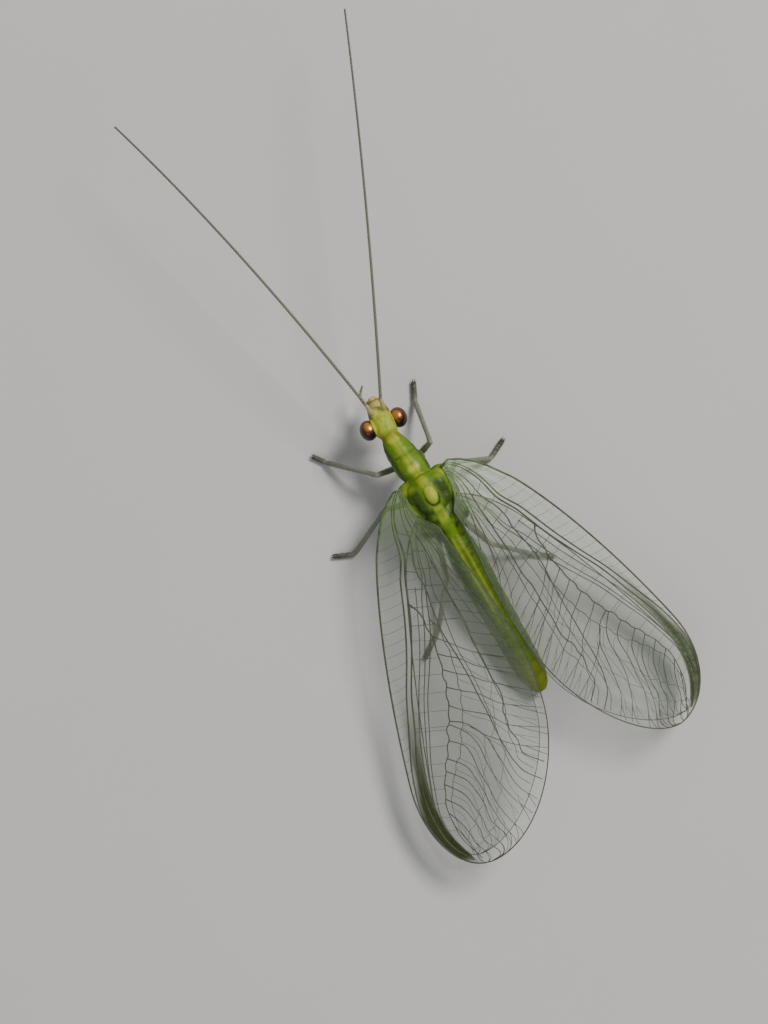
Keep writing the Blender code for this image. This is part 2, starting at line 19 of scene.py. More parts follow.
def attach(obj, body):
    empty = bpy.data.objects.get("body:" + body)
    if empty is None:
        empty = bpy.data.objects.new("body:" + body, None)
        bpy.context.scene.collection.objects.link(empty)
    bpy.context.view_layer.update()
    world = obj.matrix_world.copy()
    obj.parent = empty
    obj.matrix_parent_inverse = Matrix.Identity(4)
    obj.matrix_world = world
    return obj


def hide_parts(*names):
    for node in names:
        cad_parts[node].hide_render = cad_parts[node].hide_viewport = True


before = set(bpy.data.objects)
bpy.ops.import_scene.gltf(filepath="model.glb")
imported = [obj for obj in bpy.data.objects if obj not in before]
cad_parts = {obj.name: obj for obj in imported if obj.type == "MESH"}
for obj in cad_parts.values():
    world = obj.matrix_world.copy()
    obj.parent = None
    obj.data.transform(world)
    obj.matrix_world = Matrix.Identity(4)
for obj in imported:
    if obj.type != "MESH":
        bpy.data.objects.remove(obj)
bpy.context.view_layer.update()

log = logging.getLogger("lacewing")

MM = 0.001
DATUM = Vector((-0.04, 2.02, 0.0))
BODY = "root"

Colour = tuple[float, float, float]
Point = tuple[float, float, float]
Pair = tuple[float, float]
Rod = list[tuple[Vector, float]]


def in_frame(place: Iterable[float]) -> Vector:
    """A place given in millimetres from the datum, in the frame's metres."""
    return (Vector(place) + DATUM) * MM


def from_datum(place: Vector) -> Vector:
    """A place in the frame's metres, in millimetres from the datum."""
    return place / MM - DATUM


def clamp(value: float) -> float:
    """The value, held between 0 and 1."""
    return min(1.0, max(0.0, value))


def mix(first: float, last: float, share: float) -> float:
    """The number this share of the way from the first to the last."""
    return first + (last - first) * share


def even_steps(count: int) -> list[float]:
    """The numbers from 0 to 1 in this many even steps."""
    return [i / count for i in range(count + 1)]


def rise(low: float, high: float, value: float) -> float:
    """A smooth step from 0 at low to 1 at high, which may be the smaller of the two."""
    share = clamp((value - low) / (high - low))
    return share * share * (3.0 - 2.0 * share)


def near(value: float, centre: float, reach: float) -> float:
    """1 at the centre, falling smoothly to 0 at this reach on either side."""
    return 1.0 - rise(0.0, reach, abs(value - centre))


def read_between(knots: Sequence[Pair], at: float) -> float:
    """A smooth curve through knots.

    Args:
        knots: pairs of a place and a value, in rising order of place.
        at: the place to read.

    Returns:
        The value there, which is held past both ends.
    """
    if at <= knots[0][0]:
        return knots[0][1]
    for i in range(len(knots) - 1):
        (x0, y0), (x1, y1) = knots[i], knots[i + 1]
        if at <= x1:
            before = knots[i - 1] if i else knots[i]
            after = knots[i + 2] if i + 2 < len(knots) else knots[i + 1]
            span = x1 - x0
            slope0 = (y1 - before[1]) / (x1 - before[0])
            slope1 = (after[1] - y0) / (after[0] - x0)
            t = (at - x0) / span
            return (
                y0 * (1 + 2 * t) * (1 - t) ** 2
                + slope0 * span * t * (1 - t) ** 2
                + y1 * t * t * (3 - 2 * t)
                - slope1 * span * t * t * (1 - t)
            )
    return knots[-1][1]


class Side(Enum):
    """The insect's own left or right, with the sign that X has there."""

    LEFT = 1
    RIGHT = -1

    @property
    def word(self) -> str:
        """The side's name in lower case."""
        return self.name.lower()


class Bench:
    """The operators that every piece needs, each with its selection made in code."""

    @staticmethod
    def hold(*pieces: bpy.types.Object) -> None:
        """Selects only these pieces and makes the first of them active."""
        bpy.ops.object.select_all(action="DESELECT")
        for piece in pieces:
            piece.select_set(True)
        bpy.context.view_layer.objects.active = pieces[0]

    @staticmethod
    def free() -> None:
        """Leaves nothing selected."""
        bpy.ops.object.select_all(action="DESELECT")

    @classmethod
    def settle(cls, piece: bpy.types.Object) -> bpy.types.Object:
        """Puts a piece's place, turn and scale into its mesh."""
        cls.hold(piece)
        bpy.ops.object.transform_apply(location=True, rotation=True, scale=True)
        return piece

    @classmethod
    def finish_with(cls, piece: bpy.types.Object, kind: str, **settings: object) -> None:
        """Adds one modifier with these settings and applies it."""
        modifier = piece.modifiers.new(kind.lower(), kind)
        for name, value in settings.items():
            setattr(modifier, name, value)
        cls.hold(piece)
        bpy.ops.object.modifier_apply(modifier=modifier.name)

    @staticmethod
    def mend(gap: float) -> None:
        """Merges the active piece's points that lie within a gap in metres, and turns its faces outward."""
        bpy.ops.object.mode_set(mode="EDIT")
        bpy.ops.mesh.select_all(action="SELECT")
        bpy.ops.mesh.remove_doubles(threshold=gap)
        bpy.ops.mesh.normals_make_consistent(inside=False)
        bpy.ops.object.mode_set(mode="OBJECT")

    @classmethod
    def join(cls, pieces: Sequence[bpy.types.Object], name: str) -> bpy.types.Object:
        """Joins pieces into the first, under a new name."""
        cls.hold(*pieces)
        if len(pieces) > 1:
            bpy.ops.object.join()
        joined = bpy.context.view_layer.objects.active
        joined.name = name
        joined.data.name = name
        return joined

    @classmethod
    def ball(
        cls,
        centre: Iterable[float],
        half_sizes: Iterable[float],
        turn: Point = (0.0, 0.0, 0.0),
        segments: int = 32,
    ) -> bpy.types.Object:
        """A ball stretched to three half sizes.

        Args:
            centre: its middle, in millimetres from the datum.
            half_sizes: half its width, length and height in millimetres, before it is turned.
            turn: its turn about X, Y and Z in radians.
            segments: its faces round the middle.

        Returns:
            The piece, with its place in its mesh.
        """
        cls.free()
        bpy.ops.mesh.primitive_uv_sphere_add(
            segments=segments, ring_count=segments // 2, radius=MM, location=in_frame(centre), rotation=turn
        )
        piece = bpy.context.object
        piece.scale = tuple(half_sizes)
        return cls.settle(piece)

    @classmethod
    def ring(cls, centre: Iterable[float], turn: Point, radius: float, thickness: float) -> bpy.types.Object:
        """A ring of this radius and half thickness in millimetres, its axis turned from Z."""
        cls.free()
        bpy.ops.mesh.primitive_torus_add(
            location=in_frame(centre),
            rotation=turn,
            major_segments=40,
            minor_segments=12,
            major_radius=radius * MM,
            minor_radius=thickness * MM,
        )
        return cls.settle(bpy.context.object)

    @classmethod
    def loft(cls, ovals: Sequence[Sequence[float]], sides: int = 32) -> bpy.types.Object:
        """A closed form drawn out through upright ovals, as an extruded and resized disc.

        Args:
            ovals: rows of x, y, z, half width and half height in millimetres from the datum.
            sides: the faces round it.

        Returns:
            The piece, with its place in its mesh.
        """
        cls.free()
        x, y, z, half_width, half_height = ovals[0]
        bpy.ops.mesh.primitive_circle_add(
            vertices=sides,
            radius=MM,
            fill_type="NGON",
            location=in_frame((x, y, z)),
            rotation=(math.pi / 2, 0.0, 0.0),
        )
        piece = bpy.context.object
        piece.scale = (half_width, half_height, 1.0)
        cls.settle(piece)
        bpy.ops.object.mode_set(mode="EDIT")
        bpy.ops.mesh.select_all(action="SELECT")
        for before, oval in zip(ovals, ovals[1:]):
            step = Vector(oval[:3]) - Vector(before[:3])
            bpy.ops.mesh.extrude_region_move(TRANSFORM_OT_translate={"value": step * MM})
            bpy.ops.transform.resize(
                value=(oval[3] / before[3], 1.0, oval[4] / before[4]), center_override=in_frame(oval[:3])
            )
        bpy.ops.mesh.select_mode(type="EDGE")
        bpy.ops.mesh.select_all(action="DESELECT")
        bpy.ops.mesh.select_non_manifold()
        bpy.ops.mesh.edge_face_add()
        bpy.ops.mesh.select_all(action="SELECT")
        bpy.ops.mesh.normals_make_consistent(inside=False)
        bpy.ops.object.mode_set(mode="OBJECT")
        return piece

    @classmethod
    def rod(
        cls, paths: Sequence[Sequence[tuple[Vector, float]]], name: str, resolution: int = 1
    ) -> bpy.types.Object:
        """Round rods of changing thickness, swept along paths.

        Args:
            paths: each a row of places in millimetres from the datum with the radius there.
            name: the piece's name.
            resolution: the curve's bevel resolution, which gives 4 sides at 0 and 2 more a step.

        Returns:
            One closed mesh piece with all the rods.
        """
        data = bpy.data.curves.new(name, "CURVE")
        data.dimensions = "3D"
        data.bevel_depth = MM
        data.bevel_resolution = resolution
        data.use_fill_caps = True
        for path in paths:
            spline = data.splines.new("POLY")
            spline.points.add(len(path) - 1)
            for knot, (place, radius) in zip(spline.points, path):
                knot.co = (*in_frame(place), 1.0)
                knot.radius = radius
        piece = bpy.data.objects.new(name, data)
        bpy.context.scene.collection.objects.link(piece)
        cls.hold(piece)
        bpy.ops.object.convert(target="MESH")
        cls.mend(1e-8)
        return bpy.context.view_layer.objects.active

    @classmethod
    def flesh(
        cls, pieces: Sequence[bpy.types.Object], name: str, grain: float, passes: int
    ) -> bpy.types.Object:
        """Joins closed forms into one skin without a seam.

        Args:
            pieces: the forms, which overlap.
            name: the skin's name.
            grain: the width of its faces in millimetres.
            passes: how often it is smoothed.

        Returns:
            The skin, shaded smooth.
        """
        skin = cls.join(pieces, name)
        cls.finish_with(skin, "REMESH", mode="VOXEL", voxel_size=grain * MM, adaptivity=0.0)
        if passes:
            cls.finish_with(skin, "SMOOTH", factor=0.5, iterations=passes)
        cls.hold(skin)
        bpy.ops.object.shade_smooth()
        return skin

    @staticmethod
    def reshape(piece: bpy.types.Object, move: Callable[[Vector, Vector], Vector]) -> None:
        """Moves every vertex of a piece.

        Args:
            piece: a mesh with its place in its vertices.
            move: takes a vertex's place in millimetres from the datum and its normal, and returns the
                new place.
        """
        data = piece.data
        normals = [vertex.normal.copy() for vertex in data.vertices]
        for vertex, normal in zip(data.vertices, normals):
            vertex.co = in_frame(move(from_datum(vertex.co), normal))
        data.update()

    @classmethod
    def keep_above(cls, piece: bpy.types.Object, height: float) -> None:
        """Lifts to this height in millimetres every point of a piece that lies lower."""
        cls.reshape(piece, lambda place, normal: Vector((place.x, place.y, max(place.z, height))))

    @staticmethod
    def paint(piece: bpy.types.Object, layer: str, value: Callable[[Vector, Vector], float]) -> None:
        """Writes a number on every vertex, from its place in millimetres and its normal."""
        attribute = piece.data.attributes.new(layer, "FLOAT", "POINT")
        for item, vertex in zip(attribute.data, piece.data.vertices):
            item.value = value(from_datum(vertex.co), vertex.normal)


class Wire:
    """An output of a shader node, on which sums can be written as in Python."""

    def __init__(self, shader: "Shader", socket: bpy.types.NodeSocket) -> None:
        """Holds the socket and the shader that it belongs to."""
        self.shader = shader
        self.socket = socket

    def _with(self, operation: str, first: object, second: object) -> "Wire":
        """The result of one Math node."""
        node = self.shader.node("ShaderNodeMath", {"operation": operation}, {0: first, 1: second})
        return self.shader.out(node)

    def __add__(self, other: object) -> "Wire":
        """The sum with a wire or a number."""
        return self._with("ADD", self, other)

    __radd__ = __add__

    def __sub__(self, other: object) -> "Wire":
        """This less a wire or a number."""
        return self._with("SUBTRACT", self, other)

    def __rsub__(self, other: object) -> "Wire":
        """A number less this."""
        return self._with("SUBTRACT", other, self)

    def __mul__(self, other: object) -> "Wire":
        """The product with a wire or a number."""
        return self._with("MULTIPLY", self, other)

    __rmul__ = __mul__

    def __truediv__(self, other: object) -> "Wire":
        """This divided by a wire or a number."""
        return self._with("DIVIDE", self, other)

    def __pow__(self, other: object) -> "Wire":
        """This raised to a power."""
        return self._with("POWER", self, other)

    def within(self, low: float, high: float) -> "Wire":
        """A smooth step from 0 at low to 1 at high."""
        settings = {"interpolation_type": "SMOOTHSTEP"}
        node = self.shader.node("ShaderNodeMapRange", settings, {0: self, 1: low, 2: high, 3: 0.0, 4: 1.0})
        return self.shader.out(node)


class Shader:
    """A material made of one Principled shader and the nodes that feed it."""

    def __init__(self, name: str, **constants: object) -> None:
        """Makes the material.

        Args:
            name: the material's name.
            constants: values of the Principled shader's sockets, with _ for each space.
        """
        self.material = bpy.data.materials.new(name)
        self.material.use_nodes = True
        self.tree = self.material.node_tree
        self.surface = self.tree.nodes["Principled BSDF"]
        for socket, value in constants.items():
            self.surface.inputs[socket.replace("_", " ").title().replace("Ior", "IOR")].default_value = value

    def node(self, kind: str, settings: dict | None = None, sockets: dict | None = None) -> bpy.types.Node:
        """Any node.

        Args:
            kind: the node's type.
            settings: its own settings, set first. A ramp's stops are a list of places and colours.
            sockets: values or wires for its inputs, by name or number.

        Returns:
            The node.
        """
        made = self.tree.nodes.new(kind)
        for name, value in (settings or {}).items():
            if name == "stops":
                ramp = made.color_ramp
                while len(ramp.elements) < len(value):
                    ramp.elements.new(0.5)
                for element, (place, colour) in zip(ramp.elements, value):
                    element.position = place
                    element.color = (*colour, 1.0)
            else:
                setattr(made, name, value)
        for name, value in (sockets or {}).items():
            if isinstance(value, Wire):
                self.tree.links.new(value.socket, made.inputs[name])
            elif isinstance(value, tuple) and len(value) == 3 and made.inputs[name].type == "RGBA":
                made.inputs[name].default_value = (*value, 1.0)
            else:
                made.inputs[name].default_value = value
        return made

    def out(self, node: bpy.types.Node, name: str | int = 0) -> Wire:
        """One output of a node."""
        return Wire(self, node.outputs[name])

    def place(self) -> Wire:
        """The place on the object, in its own coordinates."""
        return self.out(self.node("ShaderNodeTexCoord"), "Object")

    def layer(self, name: str) -> Wire:
        """A number that was painted on the mesh."""
        return self.out(self.node("ShaderNodeAttribute", {"attribute_name": name}), "Fac")

    def cloud(self, grain: float, detail: float = 3.0, stretch: Point = (1.0, 1.0, 1.0)) -> Wire:
        """Noise from 0 to 1.

        Args:
            grain: the size of its patches in millimetres.
            detail: how many finer layers it has.
            stretch: how much finer it is along X, Y and Z.

        Returns:
            The noise.
        """
        sized = self.node("ShaderNodeMapping", None, {"Vector": self.place(), "Scale": stretch})
        sockets = {"Vector": self.out(sized), "Scale": 1.0 / (grain * MM), "Detail": detail}
        return self.out(self.node("ShaderNodeTexNoise", None, sockets), "Fac")

    def cells(self, grain: float, feature: str = "F1") -> Wire:
        """The distance to the middle of the cell, or to its edge, for cells of this size in millimetres."""
        sockets = {"Vector": self.place(), "Scale": 1.0 / (grain * MM)}
        return self.out(self.node("ShaderNodeTexVoronoi", {"feature": feature}, sockets), "Distance")

    def blend(self, share: Wire | float, first: Wire | Colour, second: Wire | Colour) -> Wire:
        """A colour between two, by this share of the second."""
        settings = {"data_type": "RGBA", "clamp_factor": True}
        return self.out(self.node("ShaderNodeMix", settings, {0: share, 6: first, 7: second}), 2)

    def relief(self, height: Wire, depth: float, strength: float = 1.0) -> None:
        """Bumps the surface by a height from 0 to 1 that stands for this depth in millimetres."""
        sockets = {"Height": height, "Distance": depth * MM, "Strength": strength}
        self.feed("Normal", self.out(self.node("ShaderNodeBump", None, sockets)))

    def feed(self, socket: str, wire: Wire) -> None:
        """Lets a wire drive one of the Principled shader's sockets."""
        self.tree.links.new(wire.socket, self.surface.inputs[socket])


class Finish:
    """A material that is made once and then given to every piece that has it."""

    slot = ""

    def __init__(self) -> None:
        """Makes the material."""
        self.material = self.made().material

    def made(self) -> Shader:
        """The shader of this finish."""
        raise NotImplementedError

    def dress(self, piece: bpy.types.Object, *nodes: str) -> None:
        """Gives a piece this finish and its body, and lets it stand for solids.

        Args:
            piece: the piece, with its place in its mesh.
            nodes: the names of the solids that it replaces.
        """
        piece.data.materials.clear()
        piece.data.materials.append(self.material)
        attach(piece, BODY)
        if nodes:
            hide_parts(*nodes)
        faces = sum(len(face.vertices) - 2 for face in piece.data.polygons)
        log.info("%s: %d triangles", piece.name, faces)


class CuticleFinish(Finish):
    """The body's waxy green skin, with its pale stripe, cream face, dark marks and the painted shade of its
    underside, furrow and seams on the mesh.
    """

    slot = "body_green"
    green: Colour = (0.105, 0.205, 0.003)
    bright: Colour = (0.155, 0.27, 0.006)
    # The darkest green, which also serves as painted shade.
    deep: Colour = (0.018, 0.040, 0.001)
    pale: Colour = (0.54, 0.59, 0.048)
    cream: Colour = (0.74, 0.60, 0.19)
    olive: Colour = (0.26, 0.25, 0.006)
    brown: Colour = (0.13, 0.038, 0.005)

    def made(self) -> Shader:
        """The shader of this finish."""
        shader = Shader(
            "cuticle",
            subsurface_weight=0.08,
            subsurface_radius=(0.35, 0.5, 0.08),
            subsurface_scale=0.10 * MM,
            specular_ior_level=0.35,
            coat_roughness=0.22,
            ior=1.45,
        )
        mottle = shader.cloud(0.22, 4.0)
        fine = shader.cloud(0.05, 2.0)
        colour = shader.blend(mottle.within(0.30, 0.62), self.green, self.bright)
        # Darker green on the marks, and painted shade underneath, in the furrow, at the neck and at the
        # segments' seams.
        colour = shader.blend(shader.layer("deep") * (0.75 + 0.5 * fine), colour, self.deep)
        colour = shader.blend(shader.layer("olive") * (0.7 + 0.6 * mottle), colour, self.olive)
        colour = shader.blend(shader.layer("pale") * (0.55 + 0.8 * mottle), colour, self.pale)
        colour = shader.blend(shader.layer("cream") * (0.75 + 0.4 * mottle), colour, self.cream)
        colour = shader.blend(shader.layer("brown") * (0.6 + 0.8 * fine), colour, self.brown)
        shader.feed("Base Color", colour)
        shader.feed("Roughness", 0.45 + 0.20 * fine)
        shader.feed("Coat Weight", 0.03 + 0.11 * mottle)
        shader.relief(shader.cells(0.035) * 0.5 + shader.cloud(0.02, 2.0), 0.008, 0.6)
        return shader


class EyeFinish(Finish):
    """A compound eye: near black with a painted orange reflection above, under a fine net of facets."""

    slot = "eye_copper"
    black: Colour = (0.007, 0.002, 0.001)
    # The two colours of the painted reflection on the eye's front and top.
    ember: Colour = (0.16, 0.020, 0.003)
    copper: Colour = (0.90, 0.42, 0.07)

    def made(self) -> Shader:
        """The shader of this finish."""
        shader = Shader("compound_eye", coat_roughness=0.08, ior=1.45, coat_weight=0.30)
        fire = shader.layer("fire")
        mottle = shader.cloud(0.16, 3.0)
        # Painted reflection: dark red, then orange, where the eye faces forward and up.
        colour = shader.blend((fire + 0.30 * mottle).within(0.22, 0.60), self.black, self.ember)
        colour = shader.blend((fire + 0.25 * mottle).within(0.68, 1.16), colour, self.copper)
        shader.feed("Base Color", colour)
        shader.feed("Metallic", 0.05 + 0.7 * fire.within(0.3, 0.8))
        shader.feed("Roughness", 0.24 + 0.16 * mottle)
        shader.relief(1.0 - shader.cells(0.024).within(0.1, 0.6), 0.004, 0.5)
        return shader


class LimbFinish(Finish):
    """The legs' skin: green-grey at the thigh, grey at the shin, dark at the foot and pale at the joints."""

    slot = "limb_grey_green"
    thigh: Colour = (0.24, 0.29, 0.13)
    shin: Colour = (0.215, 0.220, 0.165)
    foot: Colour = (0.075, 0.068, 0.050)
    joint: Colour = (0.36, 0.36, 0.27)
    blotch: Colour = (0.33, 0.33, 0.27)

    def made(self) -> Shader:
        """The shader of this finish."""
        shader = Shader(
            "limb",
            subsurface_weight=0.06,
            subsurface_radius=(0.4, 0.5, 0.2),
            subsurface_scale=0.06 * MM,
        )
        along = shader.layer("along")
        mottle = shader.cloud(0.12, 3.0)
        colour = shader.blend(along.within(0.0, 0.40), self.thigh, self.shin)
        colour = shader.blend(along.within(0.66, 0.95), colour, self.foot)
        colour = shader.blend(shader.layer("joint") * 0.6, colour, self.joint)
        colour = shader.blend(mottle.within(0.45, 0.8) * 0.5, colour, self.blotch)
        shader.feed("Base Color", colour)
        shader.feed("Roughness", 0.42 + 0.25 * mottle)
        shader.relief(shader.cloud(0.02, 2.0), 0.006, 0.7)
        return shader


class FeelerFinish(Finish):
    """The feelers and mouth feelers: straw at the root, ringed grey-brown beyond."""

    slot = "feeler_brown"
    root: Colour = (0.46, 0.42, 0.15)
    middle: Colour = (0.22, 0.205, 0.155)
    tip: Colour = (0.15, 0.135, 0.105)
    joint: Colour = (0.045, 0.036, 0.022)
    blotch: Colour = (0.25, 0.23, 0.17)

    def made(self) -> Shader:
        """The shader of this finish."""
        shader = Shader("feeler")
        along = shader.layer("along")
        mottle = shader.cloud(0.10, 2.0)
        colour = shader.blend(along.within(0.03, 0.10), self.root, self.middle)
        colour = shader.blend(along.within(0.3, 0.9), colour, self.tip)
        colour = shader.blend(shader.layer("joint") * 0.7, colour, self.joint)
        colour = shader.blend(mottle.within(0.4, 0.8) * 0.4, colour, self.blotch)
        shader.feed("Base Color", colour)
        shader.feed("Roughness", 0.5 + 0.2 * mottle)
        shader.relief(shader.cloud(0.015, 2.0), 0.004, 0.6)
        return shader


class ClawFinish(Finish):
    """Hard, dark, shiny horn."""

    slot = "feeler_brown"

    def made(self) -> Shader:
        """The shader of this finish."""
        shader = Shader("claw_horn", coat_weight=0.4, coat_roughness=0.2)
        mottle = shader.cloud(0.03, 2.0)
        shader.feed("Base Color", shader.blend(mottle, (0.030, 0.018, 0.010), (0.085, 0.052, 0.024)))
        shader.feed("Roughness", 0.25 + 0.2 * mottle)
        return shader


class VeinFinish(Finish):
    """The wings' veins: green at the root, then dark grey-green, a little blotched."""

    slot = "wing_membrane"
    root: Colour = (0.12, 0.20, 0.045)
    beyond: Colour = (0.095, 0.110, 0.065)
    blotch: Colour = (0.050, 0.062, 0.034)

    def made(self) -> Shader:
        """The shader of this finish."""
        shader = Shader("vein")
        along = shader.layer("along")
        mottle = shader.cloud(0.35, 3.0)
        colour = shader.blend(along.within(0.02, 0.22), self.root, self.beyond)
        colour = shader.blend(mottle.within(0.35, 0.75), colour, self.blotch)
        shader.feed("Base Color", colour)
        shader.feed("Roughness", 0.40 + 0.25 * mottle)
        shader.relief(shader.cloud(0.02, 2.0), 0.004, 0.5)
        return shader


class MembraneFinish(Finish):
    """The clear, slightly green skin of the wings, milky green at the root and dark green at the stigma, partly
    with painted shade.
    """

    slot = "wing_membrane"
    clear: Colour = (0.25, 0.30, 0.20)
    cloudy: Colour = (0.36, 0.40, 0.31)
    milky: Colour = (0.27, 0.38, 0.15)
    # The stigma's dark green, partly its own colour and partly painted shade of the stacked wing edges.
    dark: Colour = (0.045, 0.058, 0.008)

    def made(self) -> Shader:
        """The shader of this finish."""
        shader = Shader("membrane", ior=1.5, specular_ior_level=0.30, specular_tint=(0.85, 1.0, 0.9, 1.0))
        root = shader.layer("root")
        mark = shader.layer("mark")
        mottle = shader.cloud(0.9, 3.0)
        colour = shader.blend(mottle.within(0.3, 0.7), self.clear, self.cloudy)
        colour = shader.blend(root, colour, self.milky)
        # The stigma's own colour with painted shade, from the layer painted on the forewings.
        colour = shader.blend(mark, colour, self.dark)
        shader.feed("Base Color", colour)
        shader.feed("Roughness", 0.16 + 0.16 * mottle)
        grazing = shader.out(shader.node("ShaderNodeLayerWeight", None, {"Blend": 0.25}), "Facing")
        shader.feed("Alpha", 0.065 + 0.05 * mottle + 0.30 * root + 0.72 * mark + 0.25 * (grazing ** 2.0))
        shader.relief(shader.cloud(0.25, 3.0), 0.02, 0.5)
        return shader


class FloorFinish:
    """The plain pale floor."""

    def dress(self, floor: bpy.types.Object) -> None:
        """Gives the floor its matt, faintly clouded paint."""
        shader = Shader("pale_floor", roughness=0.85)
        cloud = shader.cloud(6.0, 3.0)
        shader.feed("Base Color", shader.blend(cloud, (0.71, 0.695, 0.675), (0.74, 0.725, 0.705)))
        floor.data.materials.append(shader.material)


@dataclass
class Studio:
    """The floor, the soft light and the camera straight above."""

    over: Pair = (1.797, -0.037)
    height: float = 150.0
    turn: float = 149.66
    lens: float = 142.55
    film: float = 36.0
    floor_width: float = 900.0

    def make_floor(self) -> None:
        """Lays the floor just under the feet."""
        Bench.free()
        bpy.ops.mesh.primitive_plane_add(size=self.floor_width * MM, location=in_frame((0.0, 0.0, -0.004)))
        floor = bpy.context.object
        floor.name = "floor"
        FloorFinish().dress(floor)

    def make_lights(self) -> None:
        """Hangs a key light, a broad weak fill and an even sky."""
        for name, place, size, power, colour in (
            ("key", (-190.0, -50.0, 230.0), 95.0, 0.72, (1.0, 0.985, 0.955)),
            ("fill", (150.0, 150.0, 200.0), 220.0, 0.12, (0.95, 0.98, 1.0)),
        ):
            data = bpy.data.lights.new(name, "AREA")
            data.shape = "DISK"
            data.size = size * MM
            data.energy = power
            data.color = colour
            lamp = bpy.data.objects.new(name, data)
            bpy.context.scene.collection.objects.link(lamp)
            lamp.location = in_frame(place)
            lamp.rotation_euler = (-Vector(place)).to_track_quat("-Z", "Y").to_euler()
        world = bpy.data.worlds.new("sky")
        world.use_nodes = True
        world.node_tree.nodes["Background"].inputs["Color"].default_value = (0.93, 0.95, 1.0, 1.0)
        world.node_tree.nodes["Background"].inputs["Strength"].default_value = 0.24
        bpy.context.scene.world = world

    def make_camera(self) -> None:
        """Sets the camera over the back, turned so that the head points up and to the left."""
        data = bpy.data.cameras.new("camera")
        data.lens = self.lens
        data.sensor_width = self.film
        data.clip_start = 0.001
        data.clip_end = 2.0
        camera = bpy.data.objects.new("camera", data)
        bpy.context.scene.collection.objects.link(camera)
        camera.location = in_frame((*self.over, self.height))
        camera.rotation_euler = (0.0, 0.0, math.radians(self.turn))
        bpy.context.scene.camera = camera


@dataclass
class Head:
    """The head's own line, which runs forward from between the eyes and is turned a little to the right."""

    centre: Pair = (0.19, -2.82)
    turn: float = math.radians(-6.0)

    def place(self, ahead: float, left: float, height: float) -> Vector:
        """A point of the head, in millimetres from the datum.

        Args:
            ahead: millimetres ahead of the eyes.
            left: millimetres to the left of the head's midline.
            height: millimetres above the floor.

        Returns:
            The point.
        """
        cosine, sine = math.cos(self.turn), math.sin(self.turn)
        x = self.centre[0] + left * cosine + ahead * sine
        y = self.centre[1] + left * sine - ahead * cosine
        return Vector((x, y, height))

    def seen(self, place: Vector) -> tuple[float, float]:
        """How far a point lies ahead of the eyes and to the left of the head's midline."""
        cosine, sine = math.cos(self.turn), math.sin(self.turn)
        x, y = place.x - self.centre[0], place.y - self.centre[1]
        return x * sine - y * cosine, x * cosine + y * sine


HEAD = Head()

SKULL = (
    (-0.52, 2.00, 0.27, 0.26),
    (-0.44, 2.00, 0.35, 0.33),
    (-0.28, 1.98, 0.41, 0.41),
    (-0.05, 1.95, 0.44, 0.45),
    (0.20, 1.90, 0.45, 0.45),
    (0.42, 1.79, 0.42, 0.41),
    (0.62, 1.66, 0.36, 0.35),
    (0.82, 1.51, 0.29, 0.27),
    (0.97, 1.40, 0.21, 0.18),
)
HEAD_FORMS = (
    ((0.36, 0.0, 2.03), (0.33, 0.36, 0.22)),
    ((0.78, 0.0, 1.66), (0.21, 0.22, 0.15)),
    ((0.98, 0.0, 1.43), (0.16, 0.14, 0.10)),
    ((0.15, 0.0, 1.66), (0.34, 0.46, 0.27)),
)
HEAD_PAIRS = (
    ((0.90, 0.11, 1.27), (0.10, 0.19, 0.09)),
    ((0.84, 0.22, 1.28), (0.08, 0.18, 0.11)),
    ((0.50, 0.22, 1.60), (0.17, 0.32, 0.24)),
    ((-0.26, 0.22, 2.02), (0.20, 0.22, 0.26)),
    ((0.46, 0.21, 2.17), (0.12, 0.13, 0.11)),
)
NECK = (
    (0.19, -2.46, 2.00, 0.30, 0.28),
    (0.20, -2.38, 2.01, 0.35, 0.32),
    (0.20, -2.32, 2.01, 0.33, 0.31),
    (0.20, -2.26, 2.02, 0.37, 0.34),
    (0.21, -2.20, 2.02, 0.35, 0.33),
    (0.21, -2.12, 2.02, 0.36, 0.34),
)
PRONOTUM = (
    (0.21, -2.24, 2.04, 0.33, 0.29),
    (0.21, -2.18, 2.04, 0.40, 0.36),
    (0.20, -1.95, 2.05, 0.485, 0.44),
    (0.17, -1.62, 2.06, 0.555, 0.49),
    (0.15, -1.47, 2.045, 0.555, 0.465),
    (0.14, -1.32, 2.06, 0.59, 0.50),
    (0.11, -1.05, 2.07, 0.615, 0.55),
    (0.08, -0.80, 2.06, 0.60, 0.57),
    (0.06, -0.66, 2.04, 0.575, 0.56),
    (0.05, -0.56, 2.03, 0.52, 0.50),
    (0.04, -0.40, 2.03, 0.50, 0.48),
)
MESOTHORAX = (
    (0.03, -0.56, 2.03, 0.50, 0.50),
    (0.02, -0.47, 2.03, 0.62, 0.60),
    (0.01, -0.34, 2.04, 0.72, 0.70),
    (0.0, -0.05, 2.03, 0.80, 0.78),
    (0.0, 0.35, 2.00, 0.80, 0.78),
    (0.0, 0.70, 1.98, 0.74, 0.74),
    (0.0, 0.90, 1.96, 0.66, 0.66),
)
METATHORAX = (
    (0.0, 0.74, 1.96, 0.64, 0.60),
    (0.0, 0.98, 1.95, 0.72, 0.66),
    (0.0, 1.30, 1.93, 0.74, 0.69),
    (0.0, 1.62, 1.90, 0.64, 0.62),
    (0.02, 1.90, 1.87, 0.52, 0.52),
    (0.03, 2.12, 1.83, 0.47, 0.47),
)
TRUNK_FORMS = (
    ((0.02, -0.22, 2.57), (0.37, 0.32, 0.22)),
    ((0.02, 0.27, 2.74), (0.19, 0.32, 0.13)),
    ((0.0, 0.80, 2.50), (0.22, 0.18, 0.15)),
    ((0.01, 1.20, 2.49), (0.22, 0.36, 0.12)),
    ((0.0, 1.66, 2.33), (0.32, 0.22, 0.14)),
)
